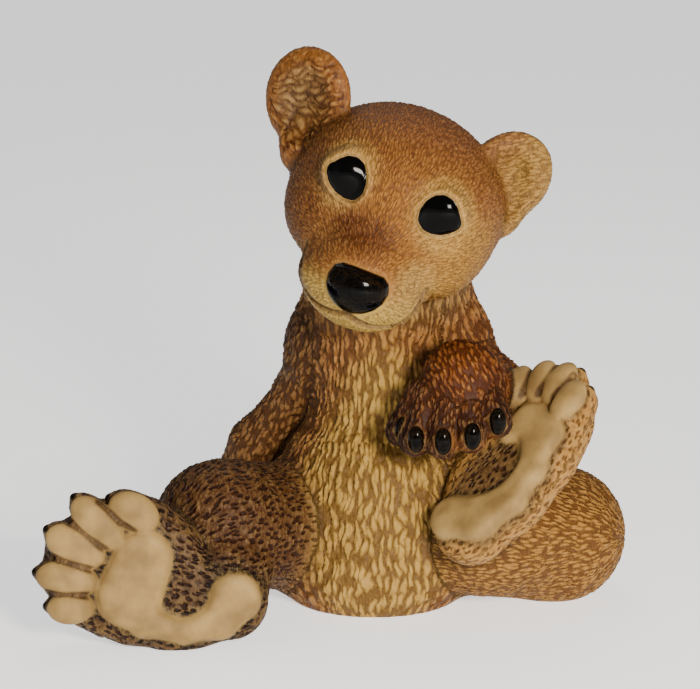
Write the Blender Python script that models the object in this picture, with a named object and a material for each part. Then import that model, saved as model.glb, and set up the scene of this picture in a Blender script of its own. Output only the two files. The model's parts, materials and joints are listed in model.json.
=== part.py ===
"""A seated bear cub, cast in one piece in resin, that holds one hind foot with a forepaw.

The figure is blended out of rounded clay-like forms. Every place and radius of a form is given in
hundredths of the figure's height, so that one height drives the whole casting. +X is to the
viewer's right, -Y towards the viewer and +Z up, and the origin lies under the middle of the figure.
"""

import math
from dataclasses import dataclass

import bmesh
import bpy
import numpy as np
from mathutils import Euler, Matrix, Vector
from mathutils.kdtree import KDTree

# Driving dimensions, in metres.
FIGURE_HEIGHT = 0.28
CLAY_GRAIN = 0.0024  # spacing of the points that the figure is first modelled with

# The finish of the casting.
COAT_COLOUR = (0.36, 0.19, 0.075, 1.0)
COAT_ROUGHNESS = 0.55

# The fur's main locks, in hundredths.
LOCK_LENGTH = 4.4  # from the middle of a lock to its tip
LOCK_WIDTH = 2.0  # from the middle of a lock to its side
LOCK_HEIGHT = 0.4
LOCK_BASE = 0.6  # share of the height that stays level with the skin
LOCK_SPACING = 3.9
LOCK_MARGIN = 2.0  # how far from finer carving a lock reaches its full height
LOCKS_TRIED = 8
SEED = 7

# How the mesh is worked.
HUNDREDTH = FIGURE_HEIGHT / 100.0
FACES_KEPT = 9500
FINE_SHARE = 0.5  # how freely finely carved groups are thinned, against 1 for the fur
FINE_GUARD = 0.9  # how strongly that share counts
PRESS_ROUNDS = 5
LONGEST_PRESS = 1.2  # hundredths that a point may move in one round
SLOPE_STEP = 0.05  # hundredths between the two ends of a slope measurement
FAR = 30.0  # hundredths: farther than any blend reaches

# Blends between neighbouring forms, in hundredths.
SOFT = 5.0
MEDIUM = 2.6
TIGHT = 1.2
CREASED = 0.45
MOUTH_BLEND = 0.3

# The soles of the hind feet, in hundredths.
PAD_RISE = 1.0  # how far the long pad stands out of the sole
SOLE_SINK = 0.3  # how far the fur of the sole lies below the toes' pads
WEB_SINK = 1.6  # how far the web between the toes lies below their pads
PAD_DEPTH = 3.0
PAD_ROUND = 1.3
SOLE_ROUND = 4.5


@dataclass(frozen=True)
class Ball:
    """An ellipsoid: centre and three radii in hundredths, turned by a matrix."""

    centre: tuple
    radii: tuple
    turn: Matrix = Matrix.Identity(3)

    def distance(self, points):
        """Signed distance from each point, in hundredths."""
        local = (points - np.array(self.centre)) @ np.array(self.turn)
        radii = np.array(self.radii)
        near = np.linalg.norm(local / radii, axis=1)
        steep = np.linalg.norm(local / radii**2, axis=1)
        return near * (near - 1.0) / np.maximum(steep, 1e-9)

    def reach(self):
        """Middle and radius of a sphere that holds the form."""
        return np.array(self.centre), max(self.radii)

    def lay(self, clay):
        """Adds the form to a bmesh as a plain ball."""
        place = Matrix.Translation(self.centre) @ self.turn.to_4x4() @ Matrix.Diagonal((*self.radii, 1.0))
        bmesh.ops.create_icosphere(clay, subdivisions=4, radius=1.0, matrix=place)


@dataclass(frozen=True)
class Limb:
    """A tapered rod with round ends: two points and their radii, in hundredths."""

    start: tuple
    end: tuple
    start_radius: float
    end_radius: float

    def distance(self, points):
        """Signed distance from each point, in hundredths."""
        start = np.array(self.start)
        along = np.array(self.end) - start
        share = np.clip((points - start) @ along / (along @ along), 0.0, 1.0)
        radius = self.start_radius + (self.end_radius - self.start_radius) * share
        return np.linalg.norm(points - start - share[:, None] * along, axis=1) - radius

    def reach(self):
        """Middle and radius of a sphere that holds the form."""
        start, end = np.array(self.start), np.array(self.end)
        return (start + end) / 2, np.linalg.norm(end - start) / 2 + max(self.start_radius, self.end_radius)

    def lay(self, clay):
        """Adds the form to a bmesh as a row of balls close enough to fuse."""
        start, end = Vector(self.start), Vector(self.end)
        steps = max(2, math.ceil((end - start).length / min(self.start_radius, self.end_radius) * 2.0))
        for number in range(steps + 1):
            share = number / steps
            radius = self.start_radius + (self.end_radius - self.start_radius) * share
            place = Matrix.Translation(start.lerp(end, share))
            bmesh.ops.create_icosphere(clay, subdivisions=3, radius=radius, matrix=place)


@dataclass(frozen=True)
class Frame:
    """A local frame: an origin in hundredths and the matrix that turns its axes into the figure's."""

    origin: Vector
    turn: Matrix

    def place(self, point):
        """A local point in the figure's frame."""
        return tuple(self.origin + self.turn @ Vector(point))

    def ball(self, centre, radii, euler=(0.0, 0.0, 0.0)):
        """A Ball given by local values, turned further by Euler angles in degrees."""
        spin = Euler([math.radians(angle) for angle in euler]).to_matrix()
        return Ball(self.place(centre), radii, self.turn @ spin)

    def limb(self, start, end, start_radius, end_radius):
        """A Limb given by local values."""
        return Limb(self.place(start), self.place(end), start_radius, end_radius)

    def spike(self, start, end, width, depth):
        """A Ball stretched from start to end, with width across and depth towards the local +Z."""
        start, end = Vector(start), Vector(end)
        along = (end - start).normalized()
        side = along.cross(Vector((0.0, 0.0, 1.0))).normalized()
        turn = Matrix((side, along, side.cross(along))).transposed()
        radii = (width, (end - start).length / 2, depth)
        return Ball(self.place((start + end) / 2), radii, self.turn @ turn)


@dataclass(frozen=True)
class Plate:
    """A slab that follows a route in a frame's XY plane, with a level top and round edges."""

    frame: Frame
    route: tuple  # rows of x, y and radius
    rise: float  # height of the top over the plane
    depth: float  # how far the slab goes below the plane
    rounding: float

    def distance(self, points):
        """Signed distance from each point, in hundredths."""
        local = (points - np.array(self.frame.origin)) @ np.array(self.frame.turn)
        across = np.full(len(points), FAR)
        for (x, y, r), (u, v, s) in zip(self.route, self.route[1:]):
            way = np.array((u - x, v - y))
            from_start = local[:, :2] - np.array((x, y))
            share = np.clip(from_start @ way / (way @ way), 0.0, 1.0)
            near = np.linalg.norm(from_start - share[:, None] * way, axis=1) - (r + (s - r) * share)
            across = soft_least(across, near, PAD_ROUND)
        middle = (self.rise - self.depth) / 2
        level = np.abs(local[:, 2] - middle) - (self.rise + self.depth) / 2
        return -soft_least(-across, -level, self.rounding)

    def reach(self):
        """Middle and radius of a sphere that holds the form."""
        places = np.array([(x, y, 0.0) for x, y, _ in self.route])
        middle = places.mean(axis=0)
        radius = max(np.linalg.norm(place - middle) + row[2] for place, row in zip(places, self.route))
        return np.array(self.frame.place(tuple(middle))), radius + self.depth

    def lay(self, clay):
        """Adds the form to a bmesh as flattened balls along the route."""
        for (x, y, r), (u, v, s) in zip(self.route, self.route[1:]):
            steps = max(1, math.ceil(math.hypot(u - x, v - y) / min(r, s) * 1.5))
            for number in range(steps + 1):
                share = number / steps
                radius = r + (s - r) * share
                at = (x + (u - x) * share, y + (v - y) * share, -self.depth / 2)
                self.frame.ball(at, (radius, radius, self.depth / 2)).lay(clay)


@dataclass(frozen=True)
class Row:
    """A form in a group and its blend with the forms before it."""

    form: object
    blend: float
    cuts: bool = False  # the form is carved away instead of added


@dataclass(frozen=True)
class Group:
    """Forms that are joined with one another before they join the figure."""

    rows: list
    blend: float
    locks: bool  # main locks of fur are raised on the group


def mirrored(point, side):
    """The point with its first value on the given side, -1 or +1."""
    return (point[0] * side, *point[1:])


def head_frame():
    """The head leans to the viewer's right and looks a little down. +X right, -Y out of the face."""
    lean, turned, nod = math.radians(21.0), math.radians(-6.0), math.radians(12.0)
    turn = Matrix.Rotation(lean, 3, "Y") @ Matrix.Rotation(turned, 3, "Z") @ Matrix.Rotation(nod, 3, "X")
    return Frame(Vector((11.0, -10.0, 73.0)), turn)


def skull_forms(head):
    """Skull, brow, cheeks, muzzle and chin."""
    rows = [
        Row(head.ball((0.4, 0, 1.8), (19.2, 17.0, 16.6)), SOFT),
        Row(head.ball((0, -7, 6.5), (13.0, 9.4, 9.0)), SOFT),
        Row(head.limb((0, -9, -3.6), (0, -15.2, -7.2), 10.4, 9.2), SOFT),
        Row(head.ball((0, -16.4, -9.4), (10.9, 7.6, 6.2)), MEDIUM),
        Row(head.ball((0, -14.6, -12.6), (7.8, 7.2, 3.6)), MEDIUM),
    ]
    for side in (-1, 1):
        rows.append(Row(head.ball(mirrored((9.4, -5.6, -3.4), side), (7.2, 8.4, 6.6)), SOFT))
    return rows


def ear_forms(head):
    """Two round ears with hollow fronts; the one on the viewer's right is folded further back."""
    left, right = (0.0, 0.0, -20.0), (0.0, 0.0, 22.0)
    return {
        "left_ear": [
            Row(head.ball((-20.6, 1.8, 12.4), (8.3, 2.9, 9.3), left), MEDIUM),
            Row(head.ball((-18.8, -0.4, 5.2), (3.8, 3.4, 5.8), left), MEDIUM),
            Row(head.ball((-22.2, -3.4, 12.4), (6.3, 5.4, 7.6), left), TIGHT, cuts=True),
        ],
        "right_ear": [
            Row(head.ball((17.2, 4.2, 11.2), (7.8, 2.9, 9.3), right), MEDIUM),
            Row(head.ball((18.6, 2.6, 4.4), (4.4, 3.2, 5.6), right), MEDIUM),
            Row(head.ball((18.2, -1.0, 11.0), (6.2, 5.4, 7.6), right), TIGHT, cuts=True),
        ],
    }


MOUTH_ROUTE = (
    # half of the line of the mouth, from under the nose out to its corner
    (0.0, -23.6, -11.2),
    (1.4, -23.0, -12.6),
    (4.8, -21.0, -13.6),
    (8.6, -18.2, -12.4),
    (10.8, -15.8, -9.8),
    (11.4, -14.2, -6.8),
)


def face_forms(head):
    """Eyes, nose, nostrils and the line of the mouth."""
    rows = []
    for side in (-1, 1):
        for start, end in zip(MOUTH_ROUTE, MOUTH_ROUTE[1:]):
            line = head.limb(mirrored(start, side), mirrored(end, side), 0.5, 0.5)
            rows.append(Row(line, MOUTH_BLEND, cuts=True))
    for side in (-1, 1):
        rows.append(Row(head.ball(mirrored((8.5, -14.4, 7.7), side), (3.3, 2.5, 3.3)), CREASED))
    rows.append(Row(head.ball((0.0, -23.0, -6.3), (5.1, 3.0, 2.6), (-14.0, 0.0, 0.0)), CREASED))
    rows.append(Row(head.ball((0.0, -23.0, -8.4), (3.9, 2.8, 2.9), (-14.0, 0.0, 0.0)), CREASED))
    for side in (-1, 1):
        nostril = head.ball(mirrored((3.6, -25.4, -8.0), side), (0.9, 1.1, 0.55), (0.0, 35.0 * side, 0.0))
        rows.append(Row(nostril, MOUTH_BLEND, cuts=True))
    return rows


def torso_forms():
    """Neck, chest, belly and rump."""
    return [
        Row(Ball((8.6, -3.0, 17.0), (19.2, 17.2, 20.0)), SOFT),
        Row(Ball((8.0, -5.0, 7.5), (18.5, 17.0, 13.0)), SOFT),
        Row(Ball((8.5, 6.0, 13.0), (20.0, 16.5, 16.0)), SOFT),
        Row(Ball((10.4, 1.0, 39.0), (14.0, 13.5, 15.0)), SOFT),
        Row(Limb((10.8, 0.0, 48.0), (10.5, -4.0, 62.0), 12.5, 12.5), SOFT),
        Row(Limb((9.5, 8.0, 24.0), (10.5, 5.5, 46.0), 14.0, 11.5), SOFT),
        Row(Limb((-0.5, 2.0, 46.0), (4.0, 1.0, 55.0), 7.5, 8.3), SOFT),
        Row(Limb((20.5, 2.0, 46.0), (16.5, 1.0, 55.0), 9.0, 8.3), SOFT),
        Row(Limb((10.5, 5.5, 46.0), (11.5, 0.5, 64.0), 11.5, 12.0), SOFT),
    ]


def left_arm_forms():
    """The arm on the viewer's left leans on the ground behind the knee."""
    return [
        Row(Ball((-0.9, 1.0, 45.5), (7.1, 7.6, 9.5)), SOFT),
        Row(Limb((-2.8, 1.5, 41.5), (-5.4, 3.5, 36.6), 5.7, 4.4), MEDIUM),
        Row(Limb((-5.4, 3.5, 36.6), (-14.4, 6.2, 26.0), 4.2, 3.8), MEDIUM),
        Row(Limb((-14.4, 6.2, 26.0), (-23.0, 8.5, 6.5), 3.8, 4.8), MEDIUM),
        Row(Limb((-3.0, 7.0, 33.0), (-15.0, 9.5, 13.0), 4.6, 5.2), MEDIUM),
        Row(Ball((-25.5, 6.5, 3.2), (6.6, 7.0, 4.2)), MEDIUM),
    ]


def left_paw_forms():
    """Digits and claws of the forepaw that stands on the ground."""
    rows = []
    for turned in LEFT_PAW_SPREAD:
        way = Matrix.Rotation(math.radians(turned), 3, "Z") @ Vector((-1.0, 0.0, 0.0))
        root, tip = PAW_ON_GROUND + way * 3.0, PAW_ON_GROUND + way * 7.6
        rows.append(Row(Limb(tuple(root), tuple(tip), 2.5, 2.2), CREASED))
        claw = tip + way * 1.9 + Vector((0.0, 0.0, -0.3))
        rows.append(Row(Ball(tuple(claw), (1.5, 1.5, 1.2)), CREASED))
    return rows


def right_arm_forms():
    """The arm on the viewer's right comes forward and lays its paw on the foot."""
    return [
        Row(Ball((20.0, 1.0, 45.5), (8.2, 9.0, 10.0)), SOFT),
        Row(Limb((23.5, 1.0, 43.0), (29.5, -3.0, 38.0), 6.4, 5.6), MEDIUM),
        Row(Limb((29.5, -3.0, 38.0), (25.0, -18.0, 42.5), 5.8, 6.2), MEDIUM),
        Row(Ball((23.2, -21.5, 43.2), (7.6, 7.0, 8.4)), MEDIUM),
        Row(Ball((21.4, -23.0, 38.5), (9.2, 5.4, 6.0)), MEDIUM),
    ]


LEFT_PAW_SPREAD = (-52.0, -18.0, 16.0, 50.0, 84.0)  # headings of its digits, in degrees
PAW_ON_GROUND = Vector((-25.0, 5.5, 2.4))

RIGHT_PAW_DIGITS = (
    # where each digit starts and ends, from the inner side of the paw to the outer
    ((16.5, -22.0, 42.0), (12.6, -23.5, 35.8)),
    ((17.8, -24.0, 42.0), (14.8, -27.0, 35.0)),
    ((20.8, -25.0, 42.5), (19.4, -29.0, 35.2)),
    ((24.0, -25.0, 42.5), (24.4, -29.2, 36.2)),
    ((26.6, -24.0, 43.0), (28.8, -27.6, 38.4)),
)


def right_paw_forms():
    """Digits and claws of the forepaw that lies on the foot."""
    rows = []
    for start, end in RIGHT_PAW_DIGITS:
        rows.append(Row(Limb(start, end, 3.1, 2.9), CREASED))
    for start, end in RIGHT_PAW_DIGITS:
        tip = Vector(end) + Vector((0.2, -2.6, 0.8))
        rows.append(Row(Ball(tuple(tip), (1.3, 1.1, 2.2)), CREASED))
    return rows


def left_leg_forms():
    """Thigh, knee and shin of the leg on the viewer's left."""
    return [
        Row(Limb((0.0, 0.0, 11.0), (-17.0, -17.0, 17.0), 12.0, 11.0), SOFT),
        Row(Ball((-19.6, -20.0, 18.2), (11.2, 10.0, 11.0)), MEDIUM),
        Row(Limb((-18.5, -22.0, 14.0), (-18.0, -27.0, 11.0), 9.5, 8.0), MEDIUM),
    ]


def right_leg_forms():
    """Thigh, knee and shin of the leg on the viewer's right."""
    return [
        Row(Limb((18.0, 2.0, 10.2), (38.0, -3.0, 10.2), 12.0, 11.5), SOFT),
        Row(Ball((43.0, -4.0, 11.4), (10.9, 11.5, 11.8)), SOFT),
        Row(Limb((40.0, -8.0, 14.0), (29.0, -16.0, 17.0), 9.0, 9.0), MEDIUM),
        Row(Ball((28.0, -12.5, 12.0), (13.0, 9.5, 9.5)), SOFT),
        Row(Ball((27.0, -6.0, 27.0), (10.0, 9.0, 11.0)), MEDIUM),
    ]


@dataclass(frozen=True)
class Foot:
    """A hind foot: its frame (+X to the toes, +Y to the outer side, +Z out of the sole) and its pads."""

    frame: Frame
    toes: tuple  # rows of x, y, half length, half width and heading in degrees
    pad_route: tuple  # rows of x, y and radius along the long pad
    body_route: tuple  # rows of x, y and radius along the whole sole
    web_route: tuple  # rows of x, y and radius along the roots of the toes
    depth: float  # thickness of the foot


def foot_frame(heel, toe_way, outer_way):
    """The frame of a hind foot, from the middle of the heel's pad."""
    along = Vector(toe_way).normalized()
    outer = (Vector(outer_way) - along * Vector(outer_way).dot(along)).normalized()
    out = along.cross(outer)
    if out.y > 0:
        out = -out
    return Frame(Vector(heel), Matrix((along, outer, out)).transposed())


def left_foot():
    """The sole on the viewer's left faces the viewer, toes to the left."""
    frame = foot_frame((-16.3, -35.5, 9.2), (-0.965, -0.06, 0.25), (-0.2, -0.2, -0.95))
    toes = (
        (20.3, -10.6, 4.4, 2.6, -13.0),
        (26.0, -7.3, 5.4, 2.7, -34.0),
        (28.7, -2.6, 5.2, 2.8, -15.0),
        (28.8, 3.2, 5.1, 2.5, 4.0),
        (27.0, 7.9, 3.8, 2.2, 14.0),
    )
    pad_route = (
        (16.9, -3.0, 5.1),
        (17.6, 3.6, 5.5),
        (14.0, 7.4, 2.6),
        (7.0, 7.6, 1.9),
        (1.6, 4.6, 3.0),
        (-0.1, 0.2, 4.5),
    )
    body_route = (
        (0.4, 1.2, 6.8),
        (9.0, 3.0, 9.2),
        (16.8, 0.2, 12.4),
        (19.2, 0.2, 11.8),
    )
    web_route = (
        (19.0, -8.6, 4.6),
        (25.5, -6.0, 4.6),
        (28.6, -1.8, 4.8),
        (28.6, 3.0, 4.6),
        (25.8, 6.8, 3.8),
    )
    return Foot(frame, toes, pad_route, body_route, web_route, 9.5)


def right_foot():
    """The sole on the viewer's right is held up, turned to the left, with its toes curled a little."""
    frame = foot_frame((20.4, -26.0, 19.4), (0.60, 0.33, 0.73), (0.62, -0.76, -0.17))
    toes = (
        (25.0, -9.4, 3.4, 2.2, -25.0),
        (28.4, -6.0, 3.8, 2.2, -25.0),
        (31.0, -2.4, 4.0, 2.2, -14.0),
        (32.2, 1.2, 4.1, 2.2, 2.0),
        (30.2, 5.2, 3.9, 2.2, 4.0),
    )
    pad_route = (
        (20.4, -1.2, 2.4),
        (23.4, 0.8, 3.6),
        (22.6, 4.6, 3.8),
        (16.5, 7.2, 2.3),
        (10.0, 7.2, 2.7),
        (3.8, 3.8, 3.8),
        (1.8, -0.6, 4.2),
    )
    body_route = (
        (3.0, 1.2, 6.9),
        (11.0, 0.8, 9.8),
        (20.0, 0.2, 10.4),
        (23.0, 0.2, 9.8),
    )
    web_route = (
        (24.0, -7.0, 3.8),
        (28.0, -4.4, 3.8),
        (30.4, -1.2, 3.8),
        (30.8, 2.0, 3.8),
        (28.8, 4.6, 3.8),
    )
    return Foot(frame, toes, pad_route, body_route, web_route, 9.0)


def foot_forms(foot):
    """One hind foot: body, raised pads, toes and claws."""
    frame = foot.frame
    rows = [
        Row(Plate(frame, foot.body_route, -SOLE_SINK, foot.depth, SOLE_ROUND), MEDIUM),
        Row(Plate(frame, foot.web_route, -WEB_SINK, foot.depth - WEB_SINK, SOLE_ROUND), MEDIUM),
    ]
    for x, y, length, width, heading in foot.toes:
        toe = frame.ball((x, y, -3.4), (length + 0.6, width + 0.5, 4.0), (0, 0, heading))
        rows.append(Row(toe, CREASED))
    rows.append(Row(Plate(frame, foot.pad_route, PAD_RISE, PAD_DEPTH, PAD_ROUND), CREASED))
    for x, y, length, width, heading in foot.toes:
        rows.append(Row(frame.ball((x, y, 0.1), (length, width, 1.7), (0, 0, heading)), CREASED))
    for x, y, length, width, heading in foot.toes:
        way = Vector((math.cos(math.radians(heading)), math.sin(math.radians(heading)), 0.0))
        root = Vector((x, y, -3.0)) + way * (length - 0.6)
        claw = frame.spike(tuple(root - way * 1.6), tuple(root + way * 1.6), 1.2, 1.5)
        rows.append(Row(claw, CREASED))
    return rows


def figure_groups():
    """The whole figure, group by group."""
    head = head_frame()
    ears = ear_forms(head)
    return [
        Group(torso_forms(), SOFT, locks=True),
        Group(left_arm_forms(), TIGHT, locks=True),
        Group(right_arm_forms(), MEDIUM, locks=True),
        Group(left_leg_forms(), MEDIUM, locks=True),
        Group(right_leg_forms(), MEDIUM, locks=True),
        Group(left_paw_forms(), CREASED, locks=False),
        Group(foot_forms(left_foot()), TIGHT, locks=False),
        Group(foot_forms(right_foot()), TIGHT, locks=False),
        Group(right_paw_forms(), CREASED, locks=False),
        Group(ears["left_ear"], TIGHT, locks=False),
        Group(ears["right_ear"], TIGHT, locks=False),
        Group(skull_forms(head) + face_forms(head), TIGHT, locks=False),
    ]


def soft_least(one, other, blend):
    """The lesser of two distances, rounded over where they are nearly the same."""
    share = np.clip(0.5 + 0.5 * (other - one) / blend, 0.0, 1.0)
    return other + (one - other) * share - blend * share * (1.0 - share)


def group_distance(points, rows):
    """Signed distance to one group of rows, in hundredths."""
    found = np.full(len(points), FAR)
    for row in rows:
        middle, radius = row.form.reach()
        close = np.linalg.norm(points - middle, axis=1) < radius + row.blend + LONGEST_PRESS * 3
        if not close.any():
            continue
        reached = row.form.distance(points[close])
        if row.cuts:
            found[close] = -soft_least(-found[close], reached, row.blend)
        else:
            found[close] = soft_least(found[close], reached, row.blend)
    return found


def figure_distance(points, groups):
    """Signed distance to the whole figure, in hundredths."""
    found = np.full(len(points), FAR)
    for group in groups:
        found = soft_least(found, group_distance(points, group.rows), group.blend)
    return found


def slope_of(points, groups, here):
    """Direction in which the distance grows, for each point."""
    slope = np.empty_like(points)
    for axis in range(3):
        moved = points.copy()
        moved[:, axis] += SLOPE_STEP
        slope[:, axis] = (figure_distance(moved, groups) - here) / SLOPE_STEP
    return slope


def pressed(points, groups, rounds):
    """The points moved on to the figure's surface."""
    for _ in range(rounds):
        here = figure_distance(points, groups)
        slope = slope_of(points, groups, here)
        steep = np.maximum((slope**2).sum(axis=1), 0.05)
        step = np.clip(here / steep, -LONGEST_PRESS, LONGEST_PRESS)
        points = points - slope * step[:, None]
    return points


def points_of(mesh):
    """The vertices of a mesh as an array."""
    flat = np.empty(len(mesh.vertices) * 3, np.float32)
    mesh.vertices.foreach_get("co", flat)
    return flat.reshape(-1, 3).astype(np.float64)


def set_points(mesh, points):
    """Writes an array back to the vertices of a mesh."""
    mesh.vertices.foreach_set("co", points.astype(np.float32).ravel())
    mesh.update()


def baked(thing):
    """The object's mesh with its modifiers in it, as a new mesh."""
    graph = bpy.context.evaluated_depsgraph_get()
    return bpy.data.meshes.new_from_object(thing.evaluated_get(graph))


def rough_clay(groups, grain):
    """All forms fused into one mesh by a voxel remesh, in hundredths."""
    clay = bmesh.new()
    for group in groups:
        for row in group.rows:
            if not row.cuts:
                row.form.lay(clay)
    mesh = bpy.data.meshes.new("rough_clay")
    clay.to_mesh(mesh)
    clay.free()
    thing = bpy.data.objects.new("rough_clay", mesh)
    bpy.context.scene.collection.objects.link(thing)
    remesh = thing.modifiers.new("fuse", "REMESH")
    remesh.mode = "VOXEL"
    remesh.voxel_size = grain
    fused = baked(thing)
    bpy.data.objects.remove(thing)
    return fused


def modelled_mesh(groups, grain):
    """The figure's skin as a fine mesh in hundredths: fused, pressed, smoothed and pressed again."""
    mesh = rough_clay(groups, grain)
    thing = bpy.data.objects.new("smoothing", mesh)
    bpy.context.scene.collection.objects.link(thing)
    set_points(mesh, pressed(points_of(mesh), groups, PRESS_ROUNDS))
    smooth = thing.modifiers.new("even", "SMOOTH")
    smooth.factor = 0.5
    smooth.iterations = 3
    even = baked(thing)
    set_points(even, pressed(points_of(even), groups, 2))
    bpy.data.objects.remove(thing)
    return even


def lock_cover(points, groups):
    """How high the locks may stand at each point: 1 on the fur, 0 on finely carved groups."""
    found = np.full(len(points), FAR)
    for group in groups:
        if not group.locks:
            found = np.minimum(found, group_distance(points, group.rows))
    return np.clip(found / LOCK_MARGIN, 0.0, 1.0)


def fur_flow(normals):
    """The way the fur lies at each point: down along the body."""
    way = np.array((0.0, 0.0, -1.0)) + normals * normals[:, 2:]
    return way / np.maximum(np.linalg.norm(way, axis=1), 1e-6)[:, None]


def scattered(points, spacing, chance):
    """Numbers of points that lie at least the spacing apart, picked by chance."""
    cells = np.floor(points / spacing).astype(int)
    around = [(x, y, z) for x in (-1, 0, 1) for y in (-1, 0, 1) for z in (-1, 0, 1)]
    taken = {}
    kept = []
    for number in chance.permutation(len(points)):
        x, y, z = cells[number]
        rivals = [other for i, j, k in around for other in taken.get((x + i, y + j, z + k), ())]
        if rivals and np.linalg.norm(points[rivals] - points[number], axis=1).min() < spacing:
            continue
        taken.setdefault((x, y, z), []).append(number)
        kept.append(number)
    return kept


def lock_heights(points, flow, chance):
    """Height of the fur's locks at each point, from 0 in the grooves to 1 on the crests."""
    roots = scattered(points, LOCK_SPACING, chance)
    tree = KDTree(len(roots))
    for number, root in enumerate(roots):
        tree.insert(points[root], number)
    tree.balance()
    heights = np.zeros(len(points))
    for number, point in enumerate(points):
        near = [roots[index] for _, index, _ in tree.find_n(point, LOCKS_TRIED)]
        offsets = point - points[near]
        along = (offsets * flow[near]).sum(axis=1)
        across = np.linalg.norm(offsets - flow[near] * along[:, None], axis=1)
        swell = 1.0 - (along / LOCK_LENGTH) ** 2 - (across / LOCK_WIDTH) ** 2
        heights[number] = math.sqrt(max(swell.max(), 0.0))
    return heights


def furred(mesh, groups):
    """Raises the main locks of the fur on the mesh."""
    points = points_of(mesh)
    flat = np.empty(len(mesh.vertices) * 3, np.float32)
    mesh.vertices.foreach_get("normal", flat)
    normals = flat.reshape(-1, 3).astype(np.float64)
    heights = lock_heights(points, fur_flow(normals), np.random.default_rng(SEED))
    rise = LOCK_HEIGHT * (heights - LOCK_BASE) * lock_cover(points, groups)
    set_points(mesh, points + normals * rise[:, None])


def stood_flat(mesh):
    """Cuts the mesh off at the ground and closes the cut with flat faces."""
    clay = bmesh.new()
    clay.from_mesh(mesh)
    everything = clay.verts[:] + clay.edges[:] + clay.faces[:]
    bmesh.ops.bisect_plane(
        clay, geom=everything, dist=1e-6, plane_co=(0, 0, 0), plane_no=(0, 0, 1), clear_inner=True
    )
    rim = [edge for edge in clay.edges if edge.is_boundary]
    bmesh.ops.triangle_fill(clay, edges=rim, use_beauty=True, use_dissolve=False)
    bmesh.ops.triangulate(clay, faces=clay.faces[:])
    bmesh.ops.recalc_face_normals(clay, faces=clay.faces[:])
    clay.to_mesh(mesh)
    clay.free()


def thinned(mesh, groups, faces):
    """The mesh with about the given number of triangles, kept where the carving is."""
    thing = bpy.data.objects.new("thinning", mesh)
    bpy.context.scene.collection.objects.link(thing)
    freedom = thing.vertex_groups.new(name="freedom")
    for number, cover in enumerate(lock_cover(points_of(mesh), groups)):
        freedom.add([number], FINE_SHARE + (1.0 - FINE_SHARE) * cover, "REPLACE")
    sparse = thing.modifiers.new("sparse", "DECIMATE")
    sparse.ratio = faces / (2 * len(mesh.polygons))
    sparse.vertex_group = freedom.name
    sparse.vertex_group_factor = FINE_GUARD
    result = baked(thing)
    bpy.data.objects.remove(thing)
    return result


def centred(mesh):
    """Moves the mesh so that the origin lies under the middle of its box."""
    points = points_of(mesh)
    middle = (points.min(axis=0) + points.max(axis=0)) / 2
    mesh.transform(Matrix.Translation((-middle[0], -middle[1], 0.0)))


def painted_resin():
    """The casting's finish, brown all over in the solid."""
    material = bpy.data.materials.new("painted_cast_resin")
    material.use_nodes = True
    surface = material.node_tree.nodes["Principled BSDF"]
    surface.inputs["Base Color"].default_value = COAT_COLOUR
    surface.inputs["Roughness"].default_value = COAT_ROUGHNESS
    return material


def main():
    """Builds the figure as one solid."""
    for thing in list(bpy.data.objects):
        bpy.data.objects.remove(thing)
    groups = figure_groups()
    mesh = modelled_mesh(groups, CLAY_GRAIN / HUNDREDTH)
    furred(mesh, groups)
    mesh = thinned(mesh, groups, FACES_KEPT)
    stood_flat(mesh)
    centred(mesh)
    mesh.transform(Matrix.Scale(HUNDREDTH, 4))
    mesh.name = "bear_figurine"
    mesh.materials.append(painted_resin())
    figure = bpy.data.objects.new("bear_figurine", mesh)
    bpy.context.scene.collection.objects.link(figure)


if __name__ == "__main__":
    main()
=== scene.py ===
"""Looks of the seated bear cub: a hollow resin casting with carved fur, airbrushed and glossed by hand.

Every place and radius of the carving is given in hundredths of the figure's height, with +X to the
viewer's right, -Y towards the viewer and +Z up, as in the part's own source.
"""

import json
import logging
import math
from concurrent.futures import ThreadPoolExecutor
from dataclasses import dataclass, field
from enum import Enum

import bmesh
import bpy
import numpy as np
from mathutils import Euler, Matrix, Vector
from mathutils.kdtree import KDTree

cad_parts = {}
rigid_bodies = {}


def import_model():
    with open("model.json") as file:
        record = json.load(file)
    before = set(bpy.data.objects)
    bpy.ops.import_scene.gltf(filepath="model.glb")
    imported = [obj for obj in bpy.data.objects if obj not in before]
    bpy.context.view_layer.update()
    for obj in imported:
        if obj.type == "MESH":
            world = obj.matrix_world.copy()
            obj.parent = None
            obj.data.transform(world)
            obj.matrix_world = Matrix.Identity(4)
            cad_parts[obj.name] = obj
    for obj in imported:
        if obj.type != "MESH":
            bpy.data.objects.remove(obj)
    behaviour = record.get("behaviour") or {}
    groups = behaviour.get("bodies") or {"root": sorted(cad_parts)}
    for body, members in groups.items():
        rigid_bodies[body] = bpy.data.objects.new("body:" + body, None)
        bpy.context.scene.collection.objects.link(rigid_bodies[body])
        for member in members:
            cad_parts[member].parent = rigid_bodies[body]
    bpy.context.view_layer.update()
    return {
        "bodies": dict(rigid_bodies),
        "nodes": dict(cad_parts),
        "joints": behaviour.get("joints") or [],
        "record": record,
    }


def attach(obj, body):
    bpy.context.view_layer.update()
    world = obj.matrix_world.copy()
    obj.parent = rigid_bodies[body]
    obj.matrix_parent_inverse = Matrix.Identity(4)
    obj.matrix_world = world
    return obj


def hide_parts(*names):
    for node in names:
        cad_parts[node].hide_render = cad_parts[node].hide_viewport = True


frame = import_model()

log = logging.getLogger("bear_figurine")

FIGURE_HEIGHT = 0.28  # metres
HUNDREDTH = FIGURE_HEIGHT / 100.0
MIDDLE = (1.47, -8.86, 0.0)  # point of the ground, in hundredths, that lies under the middle of the box

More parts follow.
